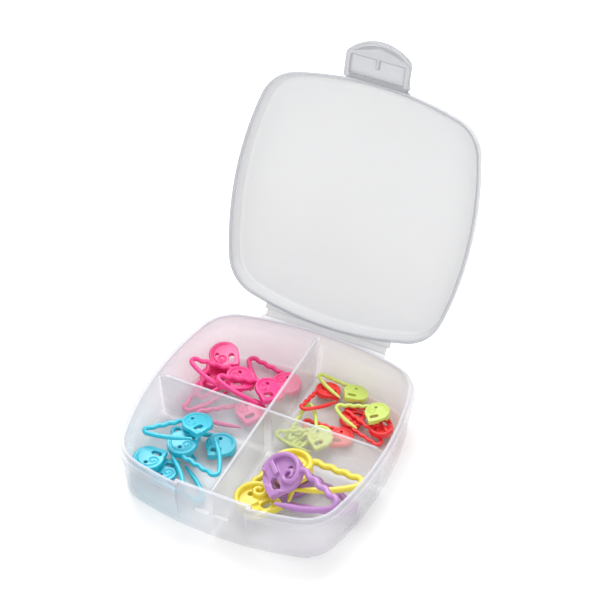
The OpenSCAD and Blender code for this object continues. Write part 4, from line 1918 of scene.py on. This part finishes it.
    def bead(self, rise: float) -> Shape:
        """The raised bead: round the rim from the bar, past the arm's root and into the scroll.

        Args:
            rise: height of its middle line.

        Returns:
            The bead, thinner towards the scroll's end.
        """
        line = self.scroll.line(self.head_radius, self.head_radius - self.rim / 2)
        last = len(line) - 1
        thin = np.interp(np.arange(last + 1), [0, self.scroll.arc_count, last], [1, 1, self.scroll_end])
        return tube(at_height(line, rise), self.rim / 2 * thin, sides=16)

    def back_groove(self) -> Shape:
        """The groove in the flat back: round under the rim, then curling in behind the scroll.

        Returns:
            The groove's tool, thin at both ends.
        """
        line = self.groove.line(self.head_radius, self.head_radius - self.rim)
        last = len(line) - 1
        widened, narrowing = self.groove_run
        stations = [0, widened, last - narrowing, last]
        width = np.interp(np.arange(last + 1), stations, self.groove_half_widths)
        return tube(at_height(line, -self.head_thickness / 2), width, sides=10)

    def beak_shape(self) -> Shape:
        """The beak beside the slot, its edges rounded.

        Returns:
            The beak.
        """
        low = self.beak_sink - self.head_thickness / 2
        high = low + self.beak_height * self.head_thickness
        flat = prism(self.head_radius * np.array(self.beak), low, high)
        return softened(flat, self.beak_round)

    def bar_shape(self) -> Shape:
        """The bare bar along the slot's inner side.

        Returns:
            The bar, before the slot's turn.
        """
        low, right = self.slot_y + self.slot_width / 2, self.slot_x - self.slot_width / 2
        high = self.head_thickness / 2 - OVERLAP
        flat = block((self.rim / 2 - self.head_radius, low, -OVERLAP),
                     (right, low + self.bar_width * self.rim, high))
        return softened(flat, self.bar_round)

    def ramp_shape(self) -> Shape:
        """The ramp that leads the pin into the slot.

        Returns:
            The ramp, before the slot's turn.
        """
        left = self.rim / 2 - self.head_radius + self.ramp_inset
        high = self.head_thickness / 2 - OVERLAP
        profile = np.array([[left, -OVERLAP], [self.slot_x, -OVERLAP], [self.slot_x, 0], [left, high]])
        upright = prism(profile, -self.slot_width / 2, self.slot_width / 2)
        return upright.moved(shift(0, self.slot_y, 0) @ turn(0, 90))

    def eye_shape(self) -> Shape:
        """The round tool for the small hole.

        Returns:
            The tool.
        """
        middle = (self.eye_place[0] * self.head_radius, self.eye_place[1] * self.head_radius)
        ring = arc_points(middle, self.eye / 2, np.linspace(0, math.tau, 32, endpoint=False))
        return prism(ring, -self.head_thickness, self.head_thickness)

    def slot_shape(self) -> Shape:
        """The tool for the slot, with round ends.

        Returns:
            The tool, before the slot's turn.
        """
        half, far = self.slot_width / 2, self.slot_x + self.slot_length - self.slot_width
        left, right = np.linspace(np.pi / 2, 1.5 * np.pi, 13), np.linspace(-np.pi / 2, np.pi / 2, 13)
        ring = np.vstack([arc_points((self.slot_x, self.slot_y), half, left),
                          arc_points((far, self.slot_y), half, right)])
        return prism(ring, -self.head_thickness, self.head_thickness)

    def head(self) -> bpy.types.Object:
        """Make the head: disc, beak, bar, ramp and bead joined, then eye, slot and groove cut.

        The bead is laid twice, at the rim's top and down on the dish, so that nothing is hollow under it.

        Returns:
            The head's solid, in millimetres.
        """
        high = self.head_thickness / 2
        spin = turn(2, self.slot_turn)
        piece = lathe(self.head_profile(), steps=96).solid("marker_head", DRAFT)
        for tool in (self.beak_shape(), self.bar_shape().moved(spin), self.ramp_shape().moved(spin),
                     self.bead(high - self.rim / 2), self.bead(self.dish - high + self.rim / 4)):
            combine(piece, tool, Blend.JOIN, DRAFT)
        for tool in (self.eye_shape(), self.slot_shape().moved(spin), self.back_groove()):
            combine(piece, tool, Blend.CUT, DRAFT)
        return piece

    def skin(self, opening: float) -> bpy.types.Mesh:
        """Make the whole marker as one skin.

        Args:
            opening: how far it is sprung open, in degrees.

        Returns:
            The mesh, in millimetres, with no object of its own.
        """
        piece = self.head()
        path, radius = self.wire_path(opening)
        combine(piece, tube(path, radius, sides=20), Blend.JOIN, DRAFT)
        skinned(piece, self.voxel, 3)
        mesh = piece.data
        bpy.data.objects.remove(piece)
        return mesh


@dataclass(frozen=True)
class Marker:
    """One marker's place in its compartment, in a medium marker's millimetres and in degrees.

    Args:
        name: the node's name, which starts with the colour.
        x: from the compartment's middle.
        y: from the compartment's middle.
        z: above the floor.
        turn: about Z.
        roll: about X; 180 lays the marker on its face.
        pitch: about Y.
        opening: how far it is sprung open.
    """

    name: str
    x: float
    y: float
    z: float
    turn: float
    roll: float = 180.0
    pitch: float = 0.0
    opening: float = 0.0

    @property
    def plastic(self) -> Plastic:
        """The colour, from the first word of the name."""
        return Plastic(self.name.split("_")[0])

    def matrix(self, middle: tuple[float, float], floor: float, scale: float) -> np.ndarray:
        """The marker's place: rolled, pitched, turned, moved, then sized about the floor's middle.

        Args:
            middle: the compartment's middle.
            floor: height of its floor.
            scale: the marker's size against a medium one.

        Returns:
            4 by 4 matrix.
        """
        sized = np.diag([scale, scale, scale, 1.0])
        pose = turn(2, self.turn) @ turn(1, self.pitch) @ turn(0, self.roll)
        return shift(*middle, floor) @ sized @ shift(self.x, self.y, self.z) @ pose


@dataclass(frozen=True)
class Compartment:
    """One compartment and what lies in it.

    Args:
        side_x: -1 for left, 1 for right.
        side_y: -1 for front, 1 for back.
        length: length of its markers.
        markers: the markers, the lowest first.
    """

    side_x: int
    side_y: int
    length: float
    markers: tuple[Marker, ...]

    def middle(self, sizes: CaseSizes) -> tuple[float, float]:
        """The middle of the compartment's floor."""
        inside = sizes.plan.width / 2 - sizes.lean - sizes.wall + sizes.divider / 2
        return ((self.side_x * inside + sizes.divider_x) / 2, (self.side_y * inside + sizes.divider_y) / 2)


MEDIUM_LENGTH = 22.0

COMPARTMENTS = (
    Compartment(-1, 1, MEDIUM_LENGTH, (
        Marker("pink_marker_1", 7, -7.5, 1.5, -145),
        Marker("pink_marker_2", 12, 8, 1.5, 166),
        Marker("pink_marker_3", -9.8, 1, 1.5, -90),
        Marker("pink_marker_4", -9.4, 6.9, 6.2, -86, pitch=14),
        Marker("pink_marker_5", 0.2, -0.5, 6.4, -165, pitch=-14),
        Marker("pink_marker_6", 10.5, -1, 6.3, -154, pitch=-15),
    )),
    Compartment(-1, -1, MEDIUM_LENGTH, (
        Marker("blue_marker_1", -5.5, -5, 1.5, -12),
        Marker("blue_marker_2", -10.5, -4.5, 4.3, -20),
        Marker("blue_marker_3", 5.5, 12.5, 1.5, -174, opening=8),
        Marker("blue_marker_4", -4, 5.3, 4.8, -17, roll=184, opening=12),
        Marker("blue_marker_5", -2.5, 12.5, 7.5, -135, roll=188, pitch=-5),
    )),
    Compartment(1, 1, 18.0, (
        Marker("red_marker_1", 0, -6.5, 1.5, 179),
        Marker("green_marker_1", -15, -14, 2, 93, roll=0, pitch=-7),
        Marker("green_marker_2", -6, -12.5, 4.7, -154, roll=166),
        Marker("red_marker_2", -0.5, 4, 1.5, -20),
        Marker("red_marker_3", -14.5, 12.5, 3, -96, pitch=-13),
        Marker("red_marker_4", 12, 3, 3.7, 160, roll=0),
        Marker("green_marker_3", 9, 6.5, 6.8, -168, pitch=7, opening=15),
        Marker("green_marker_4", -4, 15, 3.6, 178, roll=194, pitch=-7),
    )),
    Compartment(1, -1, 30.0, (
        Marker("purple_marker_1", -4.3, 6.8, 1.45, -14, roll=0),
        Marker("yellow_marker_1", -8, -4.2, 3.6, 81, roll=0),
        Marker("yellow_marker_2", -4.2, 6.4, 5.9, -2, roll=0, pitch=-4),
        Marker("purple_marker_2", -4, 1.2, 8.9, -25, roll=28, pitch=-5),
    )),
)


@dataclass
class Markers:
    """All the markers, each a copy of one of a few skins, set down in its compartment.

    Args:
        sizes: the case's shared sizes.
        shape: the form that they share.
        sharp: angle in degrees above which an edge stays sharp.
    """

    sizes: CaseSizes
    shape: MarkerShape = field(default_factory=MarkerShape)
    sharp: float = 60.0

    def build(self, dressed: dict[Plastic, bpy.types.Material]) -> None:
        """Make and dress every marker.

        Args:
            dressed: the material of each colour.
        """
        skins: dict[float, bpy.types.Mesh] = {}
        for part in COMPARTMENTS:
            middle = part.middle(self.sizes)
            for marker in part.markers:
                if marker.opening not in skins:
                    skins[marker.opening] = self.shape.skin(marker.opening)
                piece = linked(marker.name + "_skin", skins[marker.opening].copy())
                scale = part.length / MEDIUM_LENGTH
                place(piece, marker.matrix(middle, self.sizes.floor, scale), DRAFT)
                finish_piece(piece, dressed[marker.plastic], self.sharp)
                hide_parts(marker.name)
                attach(piece, marker.name + "_body")
        for mesh in skins.values():
            bpy.data.meshes.remove(mesh)


# Stage, light and camera


@dataclass(frozen=True)
class Lamp:
    """One square soft light.

    Args:
        name: its name.
        spot: where it stands, in metres.
        size: its width, in metres.
        watts: its power.
        aim: the place inside the tray that it points at, in metres.
    """

    name: str
    spot: tuple[float, float, float]
    size: float
    watts: float
    aim: tuple[float, float, float] = (0.0, 0.01, 0.02)

    def build(self) -> None:
        """Make the light and aim it at the tray."""
        data = bpy.data.lights.new(self.name, "AREA")
        data.shape = "SQUARE"
        data.size = self.size
        data.energy = self.watts
        lamp = linked(self.name, data)
        lamp.location = self.spot
        heading = Vector(self.aim) - Vector(self.spot)
        lamp.rotation_euler = heading.to_track_quat("-Z", "Y").to_euler()


@dataclass(frozen=True)
class Studio:
    """A plain pale floor, soft light and the photograph's camera.

    Args:
        floor_tone: brightness of the floor.
        floor_dip: how much darker its unevenness is.
        floor_half: half its width, in millimetres.
        world_strength: strength of the even light from all round.
        lamps: a key from the back left and a weak fill from the front right.
        camera_place: where the camera stands, in metres.
        azimuth: how far it stands round to the right, in degrees.
        elevation: how far it looks down, in degrees.
        lens: its focal length.
    """

    floor_tone: float = 0.93
    floor_dip: float = 0.01
    floor_half: float = 3000.0
    world_strength: float = 0.78
    lamps: tuple[Lamp, ...] = (
        Lamp("key", (-0.28, 0.50, 0.85), 0.75, 9.5),
        Lamp("fill", (0.7, -0.5, 0.5), 0.6, 1.6),
    )
    camera_place: tuple[float, float, float] = (0.2358, -0.46859, 0.55066)
    azimuth: float = 25.6511
    elevation: float = 42.8053
    lens: float = 147.69

    def floor(self) -> None:
        """Lay a wide flat sheet under the tray, with a very faint unevenness."""
        half, tone, dip = self.floor_half, self.floor_tone, self.floor_dip
        flat = np.array([[-half, -half, 0], [half, -half, 0], [half, half, 0], [-half, half, 0]])
        sheet = Shape(flat, [np.array([[0, 1, 2, 3]])]).solid("floor")
        material = bpy.data.materials.new("floor_paper")
        material.use_nodes = True
        wiring = Wiring(material.node_tree)
        spot = wiring.node("ShaderNodeTexCoord", {}).outputs["Object"]
        noise = wiring.node("ShaderNodeTexNoise", {"Scale": 9.0, "Vector": spot}).outputs["Fac"]
        paper = wiring.mixed(noise, (tone, tone, tone, 1), (tone - dip, tone - dip, tone - dip / 2, 1))
        shader = material.node_tree.nodes["Principled BSDF"].inputs
        for name, value in (("Base Color", paper), ("Roughness", 0.9), ("Specular IOR Level", 0.1)):
            wiring.feed(shader[name], value)
        sheet.data.materials.append(material)

    def lights(self) -> None:
        """Set the even light from all round, and the lamps."""
        world = bpy.data.worlds.new("studio")
        bpy.context.scene.world = world
        world.use_nodes = True
        around = world.node_tree.nodes["Background"]
        around.inputs["Color"].default_value = (1.0, 1.0, 1.0, 1)
        around.inputs["Strength"].default_value = self.world_strength
        for lamp in self.lamps:
            lamp.build()

    def camera(self) -> None:
        """Stand the camera at its fitted place, with its fitted heading and lens."""
        heading, rise = math.radians(self.azimuth), math.radians(self.elevation)
        back = np.array([math.sin(heading) * math.cos(rise), -math.cos(heading) * math.cos(rise),
                         math.sin(rise)])
        right = np.array([math.cos(heading), math.sin(heading), 0.0])
        data = bpy.data.cameras.new("camera")
        data.lens = self.lens
        data.sensor_width = 36.0
        data.clip_start = 0.01
        eye = linked("camera", data)
        matrix = np.eye(4)
        matrix[:3] = np.column_stack([right, np.cross(back, right), back, self.camera_place])
        eye.matrix_world = Matrix(matrix.tolist())
        bpy.context.scene.camera = eye

    def build(self) -> None:
        """Set up the camera, the floor, the lights and the plain colour transform."""
        self.camera()
        self.floor()
        self.lights()
        bpy.context.scene.view_settings.view_transform = "Standard"


def main() -> None:
    """Build the studio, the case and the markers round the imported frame."""
    logging.basicConfig(level=logging.INFO, format="%(message)s")
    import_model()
    Studio().build()
    # the second group paints highlights or dark outlines on raised edges and shade in hollows
    skin, edges = moulded_skin(), edge_tone()
    # SHADE_WEB_FINISH is dark grey painted shade for the latch web
    tray, lid, flap, web = (finish.material(skin, edges)
                            for finish in (TRAY_FINISH, LID_FINISH, FLAP_FINISH, SHADE_WEB_FINISH))
    sizes = CaseSizes()
    Tray(sizes).build(tray)
    Lid(sizes).build(lid)
    Flap(sizes).build(flap)
    Webs(sizes).build(lid, web)
    dressed = {plastic: finish.material(skin, edges) for plastic, finish in MARKER_FINISHES.items()}
    Markers(sizes).build(dressed)
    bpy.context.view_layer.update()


if __name__ == "__main__":
    main()
